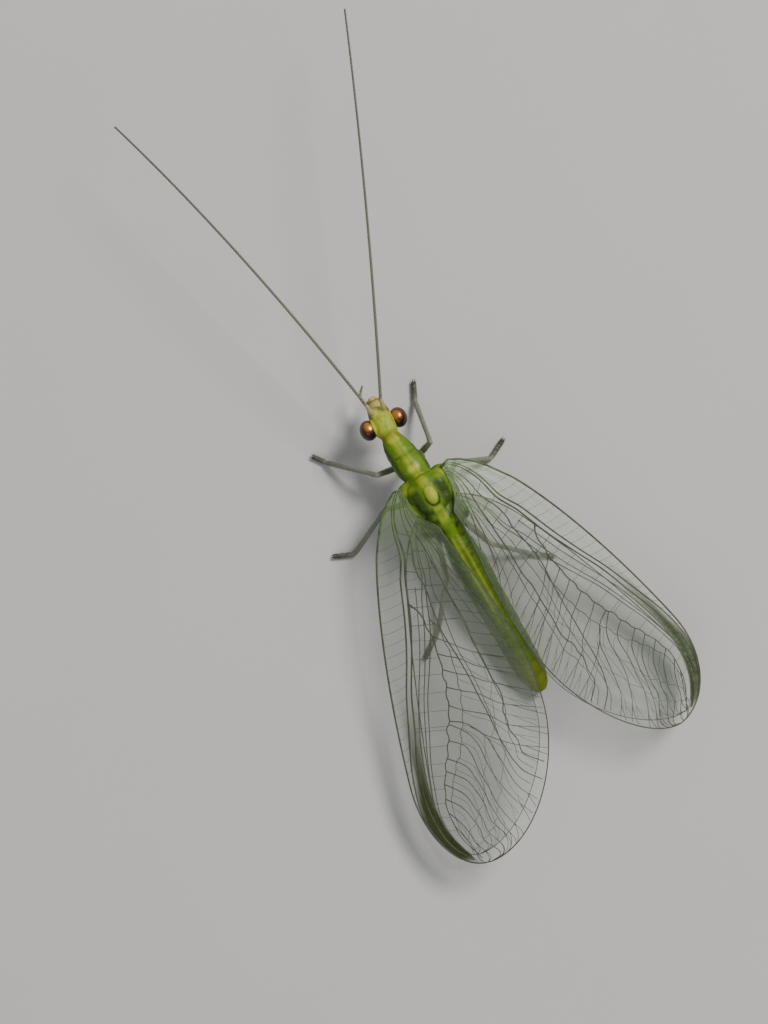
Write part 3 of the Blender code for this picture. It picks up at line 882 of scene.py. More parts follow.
TRUNK_PAIRS = (
    ((0.38, 0.04, 2.48), (0.40, 0.46, 0.26)),
    ((0.36, 0.50, 2.42), (0.32, 0.36, 0.24)),
    ((0.68, -0.14, 2.26), (0.42, 0.46, 0.24)),
    ((0.88, -0.06, 2.32), (0.22, 0.38, 0.11)),
    ((0.74, 0.46, 2.34), (0.27, 0.52, 0.13)),
    ((0.68, 1.26, 2.16), (0.28, 0.46, 0.12)),
    ((0.34, 1.14, 2.37), (0.33, 0.30, 0.20)),
    ((0.32, 1.48, 2.25), (0.28, 0.26, 0.17)),
    ((0.68, 1.18, 2.02), (0.26, 0.34, 0.16)),
    ((0.58, 0.05, 1.66), (0.30, 0.44, 0.46)),
    ((0.54, 1.22, 1.58), (0.26, 0.38, 0.40)),
    ((0.34, -1.12, 1.64), (0.22, 0.28, 0.32)),
)
COXAE = (
    ((0.51, -1.16, 1.26), (0.15, 0.17, 0.34), 0.40),
    ((0.50, 0.19, 1.08), (0.20, 0.23, 0.32), 0.55),
    ((0.40, 1.36, 1.06), (0.20, 0.24, 0.34), 0.22),
)
FRONT_COXA_SHIFT = 0.21

# The rims of the eyes and the sockets of the feelers: place, tilt about X and Y, radius, half thickness.
HEAD_RINGS = (
    ((0.0, 0.39, 1.97), (0.0, math.pi / 2), 0.285, 0.05),
    ((0.49, 0.215, 2.25), (-0.55, 0.0), 0.105, 0.035),
)

# Where along Y the head's marks end, where the pronotum's end, and where its furrow lies.
HEAD_REAR = -2.35
PRONOTUM_REAR = -0.55
FURROW = -1.46

# The back's midline, as Y and X.
MIDLINE = ((-2.5, 0.20), (-1.9, 0.15), (-1.4, 0.10), (-0.8, 0.06), (0.2, 0.02), (8.6, 0.08))


@dataclass(frozen=True)
class Abdomen:
    """The long abdomen, which droops until its end rests on the floor."""

    start: float = 2.02
    length: float = 6.58
    high: float = 1.86
    low: float = 0.34
    lift: float = 0.18
    waist: float = 0.45
    full: float = 0.63
    rear: float = 0.55
    tip_start: float = 0.80
    ends: tuple[float, ...] = (0.0, 0.10, 0.22, 0.35, 0.48, 0.61, 0.73, 0.83, 0.91, 1.0)
    lap: float = 0.045
    steps: int = 7

    def half_width(self, share: float) -> float:
        """Half the abdomen's width at this share of its length, without its segments."""
        front = mix(self.waist, self.full, math.sin(math.pi / 2 * min(1.0, share / 0.16)))
        rear = front - (self.full - self.rear) * max(0.0, share - 0.16) / 0.84
        past = max(0.0, share - self.tip_start) / (1.006 - self.tip_start)
        return rear * math.sqrt(max(0.0, 1 - past**2.4))

    def middle(self, share: float) -> Vector:
        """The middle of the abdomen at this share of its length."""
        height = mix(self.low, self.high, (1 - share) ** 1.35)
        height += self.lift * max(0.0, share - 0.9) / 0.1
        return Vector((0.04 + 0.04 * share, self.start + self.length * share, height))

    def share_at(self, place: Vector) -> float:
        """The share of the abdomen's length at a point."""
        return (place.y - self.start) / self.length

    def in_segment(self, share: float) -> float:
        """How far through its segment a share of the length lies, from 0 to 1."""
        for first, last in zip(self.ends, self.ends[1:]):
            if share <= last:
                return (share - first) / (last - first)
        return 1.0

    def ovals(self) -> list[tuple[float, ...]]:
        """The ovals to loft, each segment lapping a little over the one behind it."""
        rows = []
        for first, last in zip(self.ends, self.ends[1:]):
            for step in even_steps(self.steps - 1):
                t = step * 0.985 + 0.0075
                share = mix(first, last, t)
                swell = 1.0 - self.lap * 0.5 + self.lap * t**0.8 - self.lap * 1.4 * rise(0.90, 1.0, t)
                half = self.half_width(min(share, 0.998)) * swell
                rows.append((*self.middle(share), half, half * 0.98))
        return rows


@dataclass
class BodySkin:
    """Head, neck, thorax, hips and abdomen as one skin without a seam."""

    grain: float = 0.0290
    passes: int = 7
    soft_passes: int = 34
    abdomen: Abdomen = Abdomen()

    @staticmethod
    def softness(place: Vector) -> float:
        """How far the forms are melted into each other: most on the thorax, little on the scutellum."""
        thorax = rise(-2.30, -2.05, place.y) * rise(2.15, 1.95, place.y)
        scutellum = near(place.x, 0.02, 0.26) * near(place.y, 0.27, 0.42) * rise(2.5, 2.7, place.z)
        return thorax * (1.0 - 0.9 * scutellum)

    def head_forms(self) -> list[bpy.types.Object]:
        """The forms of the head: skull, brow, face, jaws, eye rims and feeler sockets."""
        upright = (0.0, 0.0, HEAD.turn)
        ovals = [(HEAD.centre[0], HEAD.centre[1] - ahead, *rest) for ahead, *rest in SKULL]
        skull = Bench.loft(ovals)
        pivot = Matrix.Translation(in_frame((*HEAD.centre, 0.0)))
        skull.data.transform(pivot @ Matrix.Rotation(HEAD.turn, 4, "Z") @ pivot.inverted())
        forms = [skull]
        for (ahead, left, height), sizes in HEAD_FORMS:
            forms.append(Bench.ball(HEAD.place(ahead, left, height), sizes, upright))
        for side in Side:
            for (ahead, left, height), sizes in HEAD_PAIRS:
                forms.append(Bench.ball(HEAD.place(ahead, left * side.value, height), sizes, upright))
            for (ahead, left, height), tilt, radius, thickness in HEAD_RINGS:
                centre = HEAD.place(ahead, left * side.value, height)
                forms.append(Bench.ring(centre, (*tilt, HEAD.turn), radius, thickness))
        return forms

    def trunk_forms(self) -> list[bpy.types.Object]:
        """The forms of the neck, the three rings of the thorax and the hips."""
        forms = [Bench.loft(ovals) for ovals in (NECK, PRONOTUM, MESOTHORAX, METATHORAX)]
        forms += [Bench.ball(place, sizes) for place, sizes in TRUNK_FORMS]
        for side in Side:
            sign = side.value
            for (x, y, z), sizes in TRUNK_PAIRS:
                forms.append(Bench.ball((x * sign, y, z), sizes))
            for (x, y, z), sizes, slant in COXAE:
                shift = FRONT_COXA_SHIFT if y < -1.0 and side is Side.RIGHT else 0.0
                forms.append(Bench.ball((x * sign + shift, y, z), sizes, (0.0, -slant * sign, 0.0)))
        return forms

    def carve(self, place: Vector, normal: Vector) -> Vector:
        """Moves a point of the skin to cut the grooves and raise the folds.

        Args:
            place: the point, in millimetres from the datum.
            normal: the skin's direction there.

        Returns:
            Where the point goes.
        """
        depth = 0.0
        top = rise(0.1, 0.6, normal.z)
        if place.y < HEAD_REAR:
            ahead, left = HEAD.seen(place)
            stem = near(left, 0.0, 0.035) * rise(-0.45, -0.35, ahead) * rise(0.12, 0.04, ahead)
            slant = near(abs(left), 0.06 + 0.42 * (ahead - 0.05), 0.04)
            arm = slant * rise(0.02, 0.08, ahead) * rise(0.42, 0.3, ahead)
            depth += 0.020 * max(stem, arm) * top
            depth += 0.022 * near(ahead, 0.70, 0.04) * rise(0.0, 0.3, normal.z)
            depth += 0.020 * near(ahead, 0.93, 0.03) * rise(0.0, 0.3, normal.z)
        elif place.y < PRONOTUM_REAR:
            depth += 0.030 * near(place.y, FURROW, 0.07) * rise(-0.2, 0.3, normal.z)
            depth += 0.012 * near(place.x, self.midline(place.y), 0.05) * top
            depth += 0.010 * near(place.y, -1.85, 0.04) * top
            edge = near(place.z, 1.90, 0.07) * rise(0.3, 0.8, abs(normal.x))
            depth += 0.030 * edge
        elif place.y < self.abdomen.start:
            side = abs(place.x)
            depth += 0.009 * near(side, 0.24 + 0.10 * (place.y + 0.1), 0.05) * rise(0.45, 0.20, place.y) * top
            behind = 0.30 + 0.42 * math.sqrt(max(0.0, 1 - (place.x / 0.30) ** 2))
            depth += 0.020 * near(place.y, behind, 0.06) * top * (1.0 if side < 0.3 else 0.0)
            seam = near(place.z, 2.02 + 0.1 * math.sin(3 * place.y), 0.06)
            depth += 0.020 * seam * rise(0.4, 0.8, abs(normal.x))
        else:
            share = self.abdomen.share_at(place)
            middle = self.abdomen.middle(share)
            fold = near(place.z - middle.z, -0.10, 0.08) * rise(0.5, 0.9, abs(normal.x))
            depth += 0.035 * (fold * rise(1.0, 0.9, share))
            depth += 0.0025 * math.sin(place.y * 42.0 + 2.0 * math.sin(place.x * 5)) * rise(0.95, 0.8, share)
        rough = noise.noise(place * 5.0) * 0.010 + noise.noise(place * 14.0) * 0.004
        return place + normal * (rough - depth)

    @staticmethod
    def midline(y: float) -> float:
        """Where the back's midline runs, from the head's rear to the end of the abdomen."""
        return read_between(MIDLINE, y)

    @staticmethod
    def bands(place: Vector, off: float) -> float:
        """Cross bands from 0 to 1 along the body, which bend with the distance from its midline."""
        return 0.5 + 0.5 * math.sin(place.y * 15.0 + off * 5.0)

    def pale(self, place: Vector, normal: Vector) -> float:
        """How pale the skin is: the brow, the spots on the thorax and the lines along the abdomen."""
        top = rise(0.35, 0.80, normal.z)
        off = abs(place.x - self.midline(place.y))
        if place.y < HEAD_REAR:
            ahead, _ = HEAD.seen(place)
            return 0.85 * rise(0.25, 0.45, place.z - 1.55) * rise(-0.5, -0.2, ahead)
        if place.y < PRONOTUM_REAR:
            width = 0.13 + 0.05 * near(place.y, -2.12, 0.2) + 0.06 * near(place.y, -0.88, 0.25)
            spots = 0.36 + 0.60 * max(
                near(place.y, -2.12, 0.22), 0.45 * near(place.y, -1.22, 0.2), near(place.y, -0.86, 0.24)
            )
            return spots * rise(width + 0.10, width - 0.04, off) * top
        if place.y < self.abdomen.start:
            shield = 0.85 * rise(1.25, 0.85, math.hypot(place.x / 0.19, (place.y - 0.27) / 0.32))
            band = 0.46 * rise(0.24, 0.10, off) * rise(0.0, -0.1, place.y)
            spots = max(near(place.y, 0.82, 0.16), 0.70 * near(place.y, 1.24, 0.36))
            rear = 0.6 * rise(0.22, 0.10, off) * spots
            shoulder = 0.40 * near(abs(place.x), 0.72, 0.34) * near(place.y, -0.28, 0.34)
            return max(shield, band, rear, shoulder) * top
        share = self.abdomen.share_at(place)
        lines = rise(0.075, 0.02, abs(off - 0.115)) + 0.22 * rise(0.12, 0.04, off)
        return min(1.0, lines) * 0.42 * rise(0.62, 0.36, share) * top

    def deep(self, place: Vector, normal: Vector) -> float:
        """How dark the skin is: painted shade underneath, in the furrow, at the neck and at the seams, and
        darker green on the sides and the thorax.
        """
        # Painted shade: the skin darkens where it faces down.
        under = 0.55 * rise(0.15, -0.35, normal.z)
        if place.y < HEAD_REAR:
            return 0.25 * under
        off = abs(place.x - self.midline(place.y))
        if place.y < PRONOTUM_REAR:
            edge = 0.75 * near(off, 0.47 + 0.06 * rise(-2.0, -1.0, place.y), 0.14)
            # Painted shade in the furrow across the pronotum.
            groove = 0.45 * near(place.y, FURROW, 0.07)
            return max(under, edge, groove)
        if place.y < self.abdomen.start:
            ring = math.hypot(place.x / 0.21, (place.y - 0.30) / 0.34)
            chevron = 0.95 * near(ring, 1.20, 0.30) * rise(0.15, 0.40, place.y)
            lobes = 0.82 * rise(0.22, 0.42, off) * rise(-0.30, 0.02, place.y) * rise(0.82, 0.62, off)
            rear = (0.35 + 0.55 * self.bands(place, off)) * rise(0.14, 0.26, off) * rise(0.70, 0.90, place.y)
            # Painted shade where the pronotum meets the mesothorax.
            neck = 0.14 * near(place.y, -0.50, 0.08)
            return max(under, chevron, lobes, rear, neck)
        share = self.abdomen.share_at(place)
        t = self.abdomen.in_segment(share)
        # Painted shade at the seams where the segments lap.
        seam = 0.85 * max(rise(0.10, 0.02, t), rise(0.93, 0.99, t)) * rise(0.85, 0.55, share)
        flank = 0.30 + 0.40 * rise(0.18, 0.42, off)
        front = 0.85 * self.bands(place, off) * rise(0.40, 0.05, share) * rise(0.14, 0.28, off)
        return max(under, 0.6 * seam, flank, front)

    def olive(self, place: Vector, normal: Vector) -> float:
        """How olive the skin is: the back of the head, the middle of the thorax and the abdomen's end."""
        if place.y < -2.0:
            ahead, _ = HEAD.seen(place)
            collar = rise(-0.22, -0.42, ahead) * rise(-0.75, -0.55, ahead)
            return 0.85 * collar * rise(0.0, 0.5, normal.z)
        if place.y < self.abdomen.start:
            off = abs(place.x - self.midline(place.y))
            return 0.45 * rise(0.3, 0.15, off) * near(place.y, -0.35, 0.35) * rise(0.3, 0.7, normal.z)
        share = self.abdomen.share_at(place)
        return 0.45 * rise(0.70, 0.95, share)

    def cream(self, place: Vector, normal: Vector) -> float:
        """How cream the skin is: the face, the jaws and the rims of the eyes."""
        if place.y > HEAD_REAR:
            return 0.0
        ahead, left = HEAD.seen(place)
        face = 0.75 * rise(0.25, 0.75, ahead)
        lips = 0.9 * rise(0.85, 1.0, ahead)
        rim = 0.5 * near(abs(left), 0.50, 0.07) * near(ahead, 0.0, 0.45)
        return max(face, lips, rim)

    def brown(self, place: Vector, normal: Vector) -> float:
        """How brown the skin is: a stripe down each cheek and the seams of the jaws."""
        if place.y > HEAD_REAR:
            return 0.0
        ahead, left = HEAD.seen(place)
        cheek = near(abs(left), 0.36 - 0.15 * rise(0.4, 1.0, ahead), 0.09) * rise(0.26, 0.42, ahead)
        jaws = 0.65 * near(ahead, 0.93, 0.06) + 0.5 * near(abs(left), 0.11, 0.04) * rise(0.86, 0.98, ahead)
        return max(0.9 * cheek * rise(1.02, 0.90, ahead) * rise(1.0, 0.6, normal.z), jaws)

    def build(self) -> None:
        """Builds, carves, paints and dresses the skin."""
        forms = self.head_forms() + self.trunk_forms() + [Bench.loft(self.abdomen.ovals(), 40)]
        skin = Bench.flesh(forms, "body_skin", self.grain, self.passes)
        soft = skin.vertex_groups.new(name="soft")
        for vertex in skin.data.vertices:
            soft.add([vertex.index], self.softness(from_datum(vertex.co)), "REPLACE")
        Bench.finish_with(skin, "SMOOTH", factor=0.5, iterations=self.soft_passes, vertex_group="soft")
        skin.vertex_groups.clear()
        Bench.reshape(skin, self.carve)
        Bench.keep_above(skin, 0.0)
        for layer in (self.pale, self.deep, self.olive, self.cream, self.brown):
            Bench.paint(skin, layer.__name__, layer)
        CuticleFinish().dress(skin, "head", "pronotum", "mesothorax", "metathorax", "abdomen")


@dataclass
class Eyes:
    """The two domed compound eyes."""

    radius: float = 0.385
    bulge: float = 0.83
    spread: float = 0.60
    height: float = 1.98

    def build(self) -> None:
        """Builds and dresses both eyes."""
        finish = EyeFinish()
        for side in Side:
            centre = HEAD.place(0.0, self.spread * side.value, self.height)
            Bench.free()
            bpy.ops.mesh.primitive_ico_sphere_add(
                subdivisions=6,
                radius=self.radius * MM,
                location=in_frame(centre),
                rotation=(0.0, 0.0, HEAD.turn),
            )
            eye = bpy.context.object
            eye.scale = (self.bulge, 1.0, 1.0)
            eye.name = f"compound_{side.word}"
            Bench.settle(eye)
            bpy.ops.object.shade_smooth()
            # The painted reflection lies where the eye faces this way, forward and up.
            aim = HEAD.place(0.35, (self.spread - 0.12) * side.value, self.height + 0.9) - centre

            def fire(place: Vector, normal: Vector) -> float:
                """How near a point faces the painted reflection on the eye's front and top."""
                return rise(0.58, 1.04, (place - centre).normalized().dot(aim.normalized()))

            Bench.paint(eye, "fire", fire)
            finish.dress(eye, f"eye_{side.word}")


def arc(start: Vector, corner: Vector, end: Vector, t: float) -> Vector:
    """A point, at t from 0 to 1, of the curve between two ends that is drawn towards a corner."""
    return start * (1 - t) ** 2 + corner * 2 * t * (1 - t) + end * t**2


def even_path(corners: Sequence[Vector], bend: float, step: float) -> list[Vector]:
    """A path of even steps through corners that are rounded off.

    Args:
        corners: the corners, in millimetres.
        bend: how far from a corner its rounding starts.
        step: the length of a step.

    Returns:
        The points, both ends among them.
    """
    rough = [corners[0]]
    for before, corner, after in zip(corners, corners[1:], corners[2:]):
        reach = min(bend, (corner - before).length * 0.45, (after - corner).length * 0.45)
        start = corner + (before - corner).normalized() * reach
        end = corner + (after - corner).normalized() * reach
        rough += [arc(start, corner, end, t) for t in even_steps(4)]
    rough.append(corners[-1])
    reached = [0.0]
    for first, second in zip(rough, rough[1:]):
        reached.append(reached[-1] + (second - first).length)
    count = max(2, round(reached[-1] / step))
    points, low = [], 0
    for i in range(count + 1):
        goal = reached[-1] * i / count
        while low < len(rough) - 2 and reached[low + 1] < goal:
            low += 1
        share = (goal - reached[low]) / (reached[low + 1] - reached[low])
        points.append(rough[low].lerp(rough[low + 1], share))
    return points


def nearest_share(points: Sequence[Vector]) -> Callable[[Vector], float]:
    """A function that tells how far along a path, from 0 to 1, the nearest of its points lies."""
    tree = KDTree(len(points))
    for i, point in enumerate(points):
        tree.insert(point, i)
    tree.balance()
    return lambda place: tree.find(place)[1] / (len(points) - 1)


@dataclass
class Feelers:
    """The two long feelers and the feelers of the mouth."""

    rings: int = 96
    thick: float = 0.058
    thin: float = 0.036
    waists: tuple[float, ...] = (0.78, 1.05, 1.10, 1.06)
    first_joint: tuple[Pair, ...] = ((0.0, 0.085), (0.25, 0.105), (0.7, 0.115), (0.95, 0.095))
    second_joint: tuple[Pair, ...] = ((0.08, 0.070), (0.25, 0.085), (0.70, 0.082), (0.95, 0.060))

    paths = {
        Side.LEFT: ((0.85, 0.30, 2.50), (1.63, -10.72, 3.55), (3.17, -16.99, 3.30)),
        Side.RIGHT: ((0.85, -0.27, 2.50), (-3.29, -10.04, 3.55), (-6.17, -16.47, 3.30)),
    }
    palps = {
        Side.LEFT: ((0.98, 0.33, 1.22), (1.22, 0.38, 1.14), (1.40, 0.30, 1.12), (1.62, 0.12, 1.20)),
        Side.RIGHT: ((0.98, -0.33, 1.22), (1.20, -0.40, 1.12), (1.32, -0.44, 1.08), (1.45, -0.50, 1.05)),
    }

    def flagellum(self, side: Side) -> list[Vector]:
        """The middle line of a feeler beyond its two root joints."""
        joint, middle, tip = self.paths[side]
        start, middle, tip = HEAD.place(*joint), Vector(middle), Vector(tip)
        control = middle * 2 - (start + tip) / 2
        return [arc(start, control, tip, t) for t in even_steps(self.rings * len(self.waists))]

    def build_long(self, side: Side, finish: Finish) -> None:
        """Builds and dresses one long feeler."""
        line = self.flagellum(side)
        count, cycle = len(line) - 1, len(self.waists)
        rod = []
        for i, place in enumerate(line):
            rod.append((place, mix(self.thick, self.thin, i / count) * self.waists[i % cycle]))
        name = f"feeler_{side.word}"
        thread = Bench.rod([rod], name, 2)
        share_of = nearest_share(line)
        Bench.paint(thread, "along", lambda place, normal: 0.12 + 0.88 * share_of(place))
        Bench.paint(thread, "joint", lambda place, normal: float(round(share_of(place) * count) % cycle == 0))
        socket = HEAD.place(0.47, 0.225 * side.value, 2.20)
        upper = HEAD.place(0.66, 0.265 * side.value, 2.40)
        root = [(socket.lerp(upper, share), radius) for share, radius in self.first_joint]
        root += [(upper.lerp(line[0], share), radius) for share, radius in self.second_joint]
        root.append((line[cycle], 0.045))
        base = Bench.rod([root], name + "_root", 5)
        Bench.finish_with(base, "SUBSURF", levels=1, render_levels=1)
        Bench.paint(base, "along", lambda place, normal: 0.0)
        Bench.paint(base, "joint", lambda place, normal: near((place - upper).length, 0.03, 0.03))
        feeler = Bench.join([thread, base], name)
        bpy.ops.object.shade_smooth()
        finish.dress(feeler, f"antenna_{side.word}")

    def build_palp(self, side: Side, finish: Finish) -> None:
        """Builds and dresses one feeler of the mouth, of five joints."""
        corners = [HEAD.place(*corner) for corner in self.palps[side]]
        line = even_path(corners, 0.10, 0.02)
        rod = []
        for i, place in enumerate(line):
            share = i / (len(line) - 1)
            t = (share * 5) % 1.0
            rod.append((place, (0.062 - 0.028 * share**2) * (0.72 + 0.33 * math.sin(math.pi * t) ** 0.6)))
        rod[-1] = (rod[-1][0], 0.012)
        palp = Bench.rod([rod], f"mouth_feeler_{side.word}", 3)
        bpy.ops.object.shade_smooth()
        share_of = nearest_share(line)
        Bench.paint(palp, "along", lambda place, normal: 0.02 + 0.10 * share_of(place))
        Bench.paint(palp, "joint", lambda place, normal: near((share_of(place) * 5) % 1.0, 0.0, 0.12))
        finish.dress(palp, f"palp_{side.word}")

    def build(self) -> None:
        """Builds both kinds of feelers on both sides."""
        finish = FeelerFinish()
        for side in Side:
            self.build_long(side, finish)
            self.build_palp(side, finish)


@dataclass(frozen=True)
class LegPlan:
    """One leg: its solids' name and its corners from the body to the toe."""

    name: str
    root: Point
    hip: Point
    knee: Point
    ankle: Pair
    toe: Pair


LEGS = (
    LegPlan(
        "front_left",
        (0.42, -1.12, 1.38), (0.60, -1.20, 0.98), (1.34, -1.33, 1.50), (2.73, -2.70), (3.03, -3.13),
    ),
    LegPlan(
        "front_right",
        (-0.20, -1.12, 1.38), (-0.38, -1.20, 0.98), (-0.96, -1.39, 1.62), (-1.26, -2.99), (-1.58, -3.64),
    ),
    LegPlan(
        "middle_left",
        (0.52, 0.20, 1.08), (0.72, 0.18, 0.78), (1.73, -0.08, 1.52), (3.53, 0.76), (4.22, 0.45),
    ),
    LegPlan(
        "middle_right",
        (-0.52, 0.20, 1.08), (-0.72, 0.18, 0.78), (-1.40, -0.30, 1.52), (-2.60, 0.25), (-3.34, -0.12),
    ),
    LegPlan(
        "hind_left",
        (0.40, 1.32, 1.05), (0.50, 1.50, 0.72), (1.02, 3.20, 1.00), (2.28, 4.76), (3.20, 5.40),
    ),
    LegPlan(
        "hind_right",
        (-0.40, 1.32, 1.05), (-0.50, 1.50, 0.72), (-1.00, 2.95, 1.00), (-2.09, 4.01), (-2.79, 4.55),
    ),
)


@dataclass
class Legs:
    """The six legs from the hips down, each of thigh, shin, five foot joints and two claws."""

    grain: float = 0.016
    stub: tuple[Pair, ...] = ((0.0, 0.10), (0.6, 0.10), (1.0, 0.085))
    thigh: tuple[Pair, ...] = (
        (0.0, 0.080), (0.08, 0.108), (0.35, 0.122), (0.7, 0.110), (0.93, 0.096), (1.0, 0.082),
    )
    shin: tuple[Pair, ...] = (
        (0.0, 0.074), (0.06, 0.098), (0.15, 0.086), (0.5, 0.090), (0.92, 0.098), (1.0, 0.076),
    )
    foot_ends: tuple[float, ...] = (0.0, 0.36, 0.56, 0.71, 0.83, 1.0)
    ankle_height: float = 0.16
    sole: float = 0.112
    hairs_a_step: int = 3

    def part(self, start: Vector, end: Vector, profile: Sequence[Pair], bow: Vector) -> Rod:
        """A slightly bowed rod between two joints, thick as its profile says."""
        return [
            (start.lerp(end, t) + bow * math.sin(math.pi * t), read_between(profile, t)) for t in even_steps(24)
        ]

    def foot(self, ankle: Vector, toe: Vector) -> list[Rod]:
        """The five joints of a foot, each flared at its end."""
        rods = []
        for first, last in zip(self.foot_ends, self.foot_ends[1:]):
            rows = []
            for t in even_steps(6):
                share = mix(first, last, t)
                place = ankle.lerp(toe, share)
                place.z = mix(self.sole, self.ankle_height, (1 - min(1.0, share / 0.3)) ** 2)
                rows.append((place, (0.088 + 0.024 * t**1.5) * (1.0 - 0.10 * share)))
            rods.append(rows)
        return rods

    def claws(self, ankle: Vector, toe: Vector) -> list[Rod]:
        """The two hooked claws at the end of a foot."""
        ahead = toe - ankle
        ahead.z = 0.0
        ahead.normalize()
        aside = Vector((-ahead.y, ahead.x, 0.0))
        rods = []
        for sign in (-1, 1):
            rows = []
            for t in even_steps(8):
                place = toe + ahead * (0.13 * t - 0.01) + aside * sign * (0.025 + 0.055 * t * (1.3 - t))
                place.z = self.sole + 0.012 + 0.03 * math.sin(math.pi * t) - 0.055 * t**2
                rows.append((place, 0.020 * (1 - t) ** 0.8 + 0.004))
            rods.append(rows)
        return rods

    def hairs(self, rod: Rod, chance: random.Random) -> list[Rod]:
        """Short hairs that slant towards the foot, scattered along a rod and clear of the floor."""
        rods = []
        for (place, radius), (after, _) in zip(rod, rod[1:]):
            ahead = (after - place).normalized()
            aside = ahead.cross(Vector((0.0, 0.0, 1.0))).normalized()
            above = aside.cross(ahead)
            for _ in range(self.hairs_a_step):
                angle = chance.uniform(0.0, 2 * math.pi)
                out = aside * math.cos(angle) + above * math.sin(angle)
                root = place.lerp(after, chance.random()) + out * radius * 0.8
                tip = root + out * 0.045 + ahead * 0.055
                if tip.z > 0.02:
                    rods.append([(root, 0.0055), (tip, 0.002)])
        return rods

    def build_leg(self, plan: LegPlan, finish: Finish, horn: Finish) -> None:
        """Builds and dresses one leg, its hairs and its claws."""
        root, hip, knee = Vector(plan.root), Vector(plan.hip), Vector(plan.knee)
        ankle, toe = Vector((*plan.ankle, self.ankle_height)), Vector((*plan.toe, self.sole))
        thigh = self.part(hip, knee, self.thigh, Vector((0.0, 0.0, 0.04)))
        shin = self.part(knee, ankle, self.shin, Vector((0.0, 0.0, 0.05)))
        stub = self.part(root.lerp(hip, 0.4), hip, self.stub, Vector())
        forms = [Bench.rod([rod], "rod", 5) for rod in (stub, thigh, shin, *self.foot(ankle, toe))]
        forms.append(Bench.ball(hip, (0.095, 0.095, 0.095), segments=24))
        forms.append(Bench.ball(knee, (0.096, 0.096, 0.096), segments=24))
        leg = Bench.flesh(forms, f"leg_{plan.name}", self.grain, 2)
        line = [place for place, radius in thigh + shin[1:]]
        line += even_path([ankle, toe], 0.0, 0.04)[1:]
        share_of = nearest_share(line)

        def jointed(place: Vector, normal: Vector) -> float:
            """How near a point lies to one of the leg's joints."""
            return max(near((place - joint).length, 0.05, 0.09) for joint in (hip, knee, ankle))

        Bench.paint(leg, "along", lambda place, normal: share_of(place))
        Bench.paint(leg, "joint", jointed)
        names = [f"leg_{plan.name}_{part}" for part in ("femur", "tibia", "tarsus")]
        finish.dress(leg, *names)
        claws = Bench.rod(self.claws(ankle, toe), f"claws_{plan.name}", 2)
        Bench.keep_above(claws, 0.001)
        bpy.ops.object.shade_smooth()
        horn.dress(claws)
        chance = random.Random(plan.name)
        tufts = [hair for rod in (thigh, shin, *self.foot(ankle, toe)) for hair in self.hairs(rod, chance)]
        horn.dress(Bench.rod(tufts, f"hairs_{plan.name}", 0))

    def build(self) -> None:
        """Builds all six legs."""
        finish, horn = LimbFinish(), ClawFinish()
        for plan in LEGS:
            self.build_leg(plan, finish, horn)


ROOT_HALF_WIDTH = 0.26
HIND_ROOT_WIDTH = 0.95

# A hind wing's length as a share of its forewing's, and the last share of a length where a point is put.
HIND_LENGTH = 0.895
TIP_SHARE = 0.9995


@dataclass(frozen=True)
class Outline:
    """How a wing's two margins run: where each is widest, and how round and full the hind one is."""

    front_widest: float
    hind_widest: float
    hind_roundness: float
    hind_fullness: float


FORE_OUTLINE = Outline(0.75, 0.62, 1.8, 1.1)
HIND_OUTLINE = Outline(0.80, 0.62, 1.7, 1.5)


@dataclass(frozen=True)
class WingPlan:
    """The outline, place and tilt of one wing. Chord 0 is the front margin and 1 the hind margin."""

    side: Side
    root: Pair
    yaw: float
    length: float
    front_width: float
    hind_width: float
    outline: Outline

    def front_reach(self, share: float) -> float:
        """How far the front margin stands from the wing's own line, in millimetres."""
        widest = self.outline.front_widest
        if share > widest:
            bulge = max(0.0, 1 - ((share - widest) / (1 - widest)) ** 2) ** 0.5
        else:
            bulge = (1 - (1 - share / widest) ** 2) ** 0.45
        narrow = 1 - 0.35 * max(0.0, 1 - share / 0.12) ** 2
        return (self.length * self.front_width * bulge + ROOT_HALF_WIDTH * (1 - share) ** 8) * narrow

    def hind_reach(self, share: float) -> float:
        """How far the hind margin stands from the wing's own line, in millimetres."""
        widest, power = self.outline.hind_widest, self.outline.hind_roundness
        if share > widest:
            bulge = max(0.0, 1 - ((share - widest) / (1 - widest)) ** power) ** (1 / power)
        else:
            bulge = (1 - (1 - share / widest) ** 2) ** self.outline.hind_fullness
        return self.length * self.hind_width * bulge + HIND_ROOT_WIDTH * (1 - share) ** 8

    def axis(self) -> Vector:
        """The direction of the wing's own line on the floor."""
        yaw = math.radians(self.yaw)
        return Vector((math.sin(yaw) * self.side.value, math.cos(yaw)))

    def across(self, turned: float = 0.0) -> Vector:
        """The direction on the floor from the hind margin to the front one, turned forward by an angle."""
        angle = -math.radians(self.yaw) - turned
        return Vector((math.cos(angle) * self.side.value, math.sin(angle)))

    def flat_place(self, share: float, chord: float) -> Vector:
        """A point of the wing seen from above, in millimetres."""
        turned = (math.pi / 2 - math.radians(self.yaw)) * max(0.0, 1 - share / 0.09) ** 1.5
        reach = self.front_reach(share) * (1 - chord) - self.hind_reach(share) * chord
        hinge = Vector((-0.36 * self.side.value, -0.42)) * max(0.0, 1 - share / 0.10) ** 1.6
        return Vector(self.root) + hinge + self.axis() * (self.length * share) + self.across(turned) * reach

    def chord_at(self, share: float, offset: float) -> float:
        """The chord at an offset from the wing's own line that is given as a share of its length."""
        share = min(share, 0.999)
        front, hind = self.front_reach(share), self.hind_reach(share)
        return clamp((front - offset * self.length) / (front + hind))


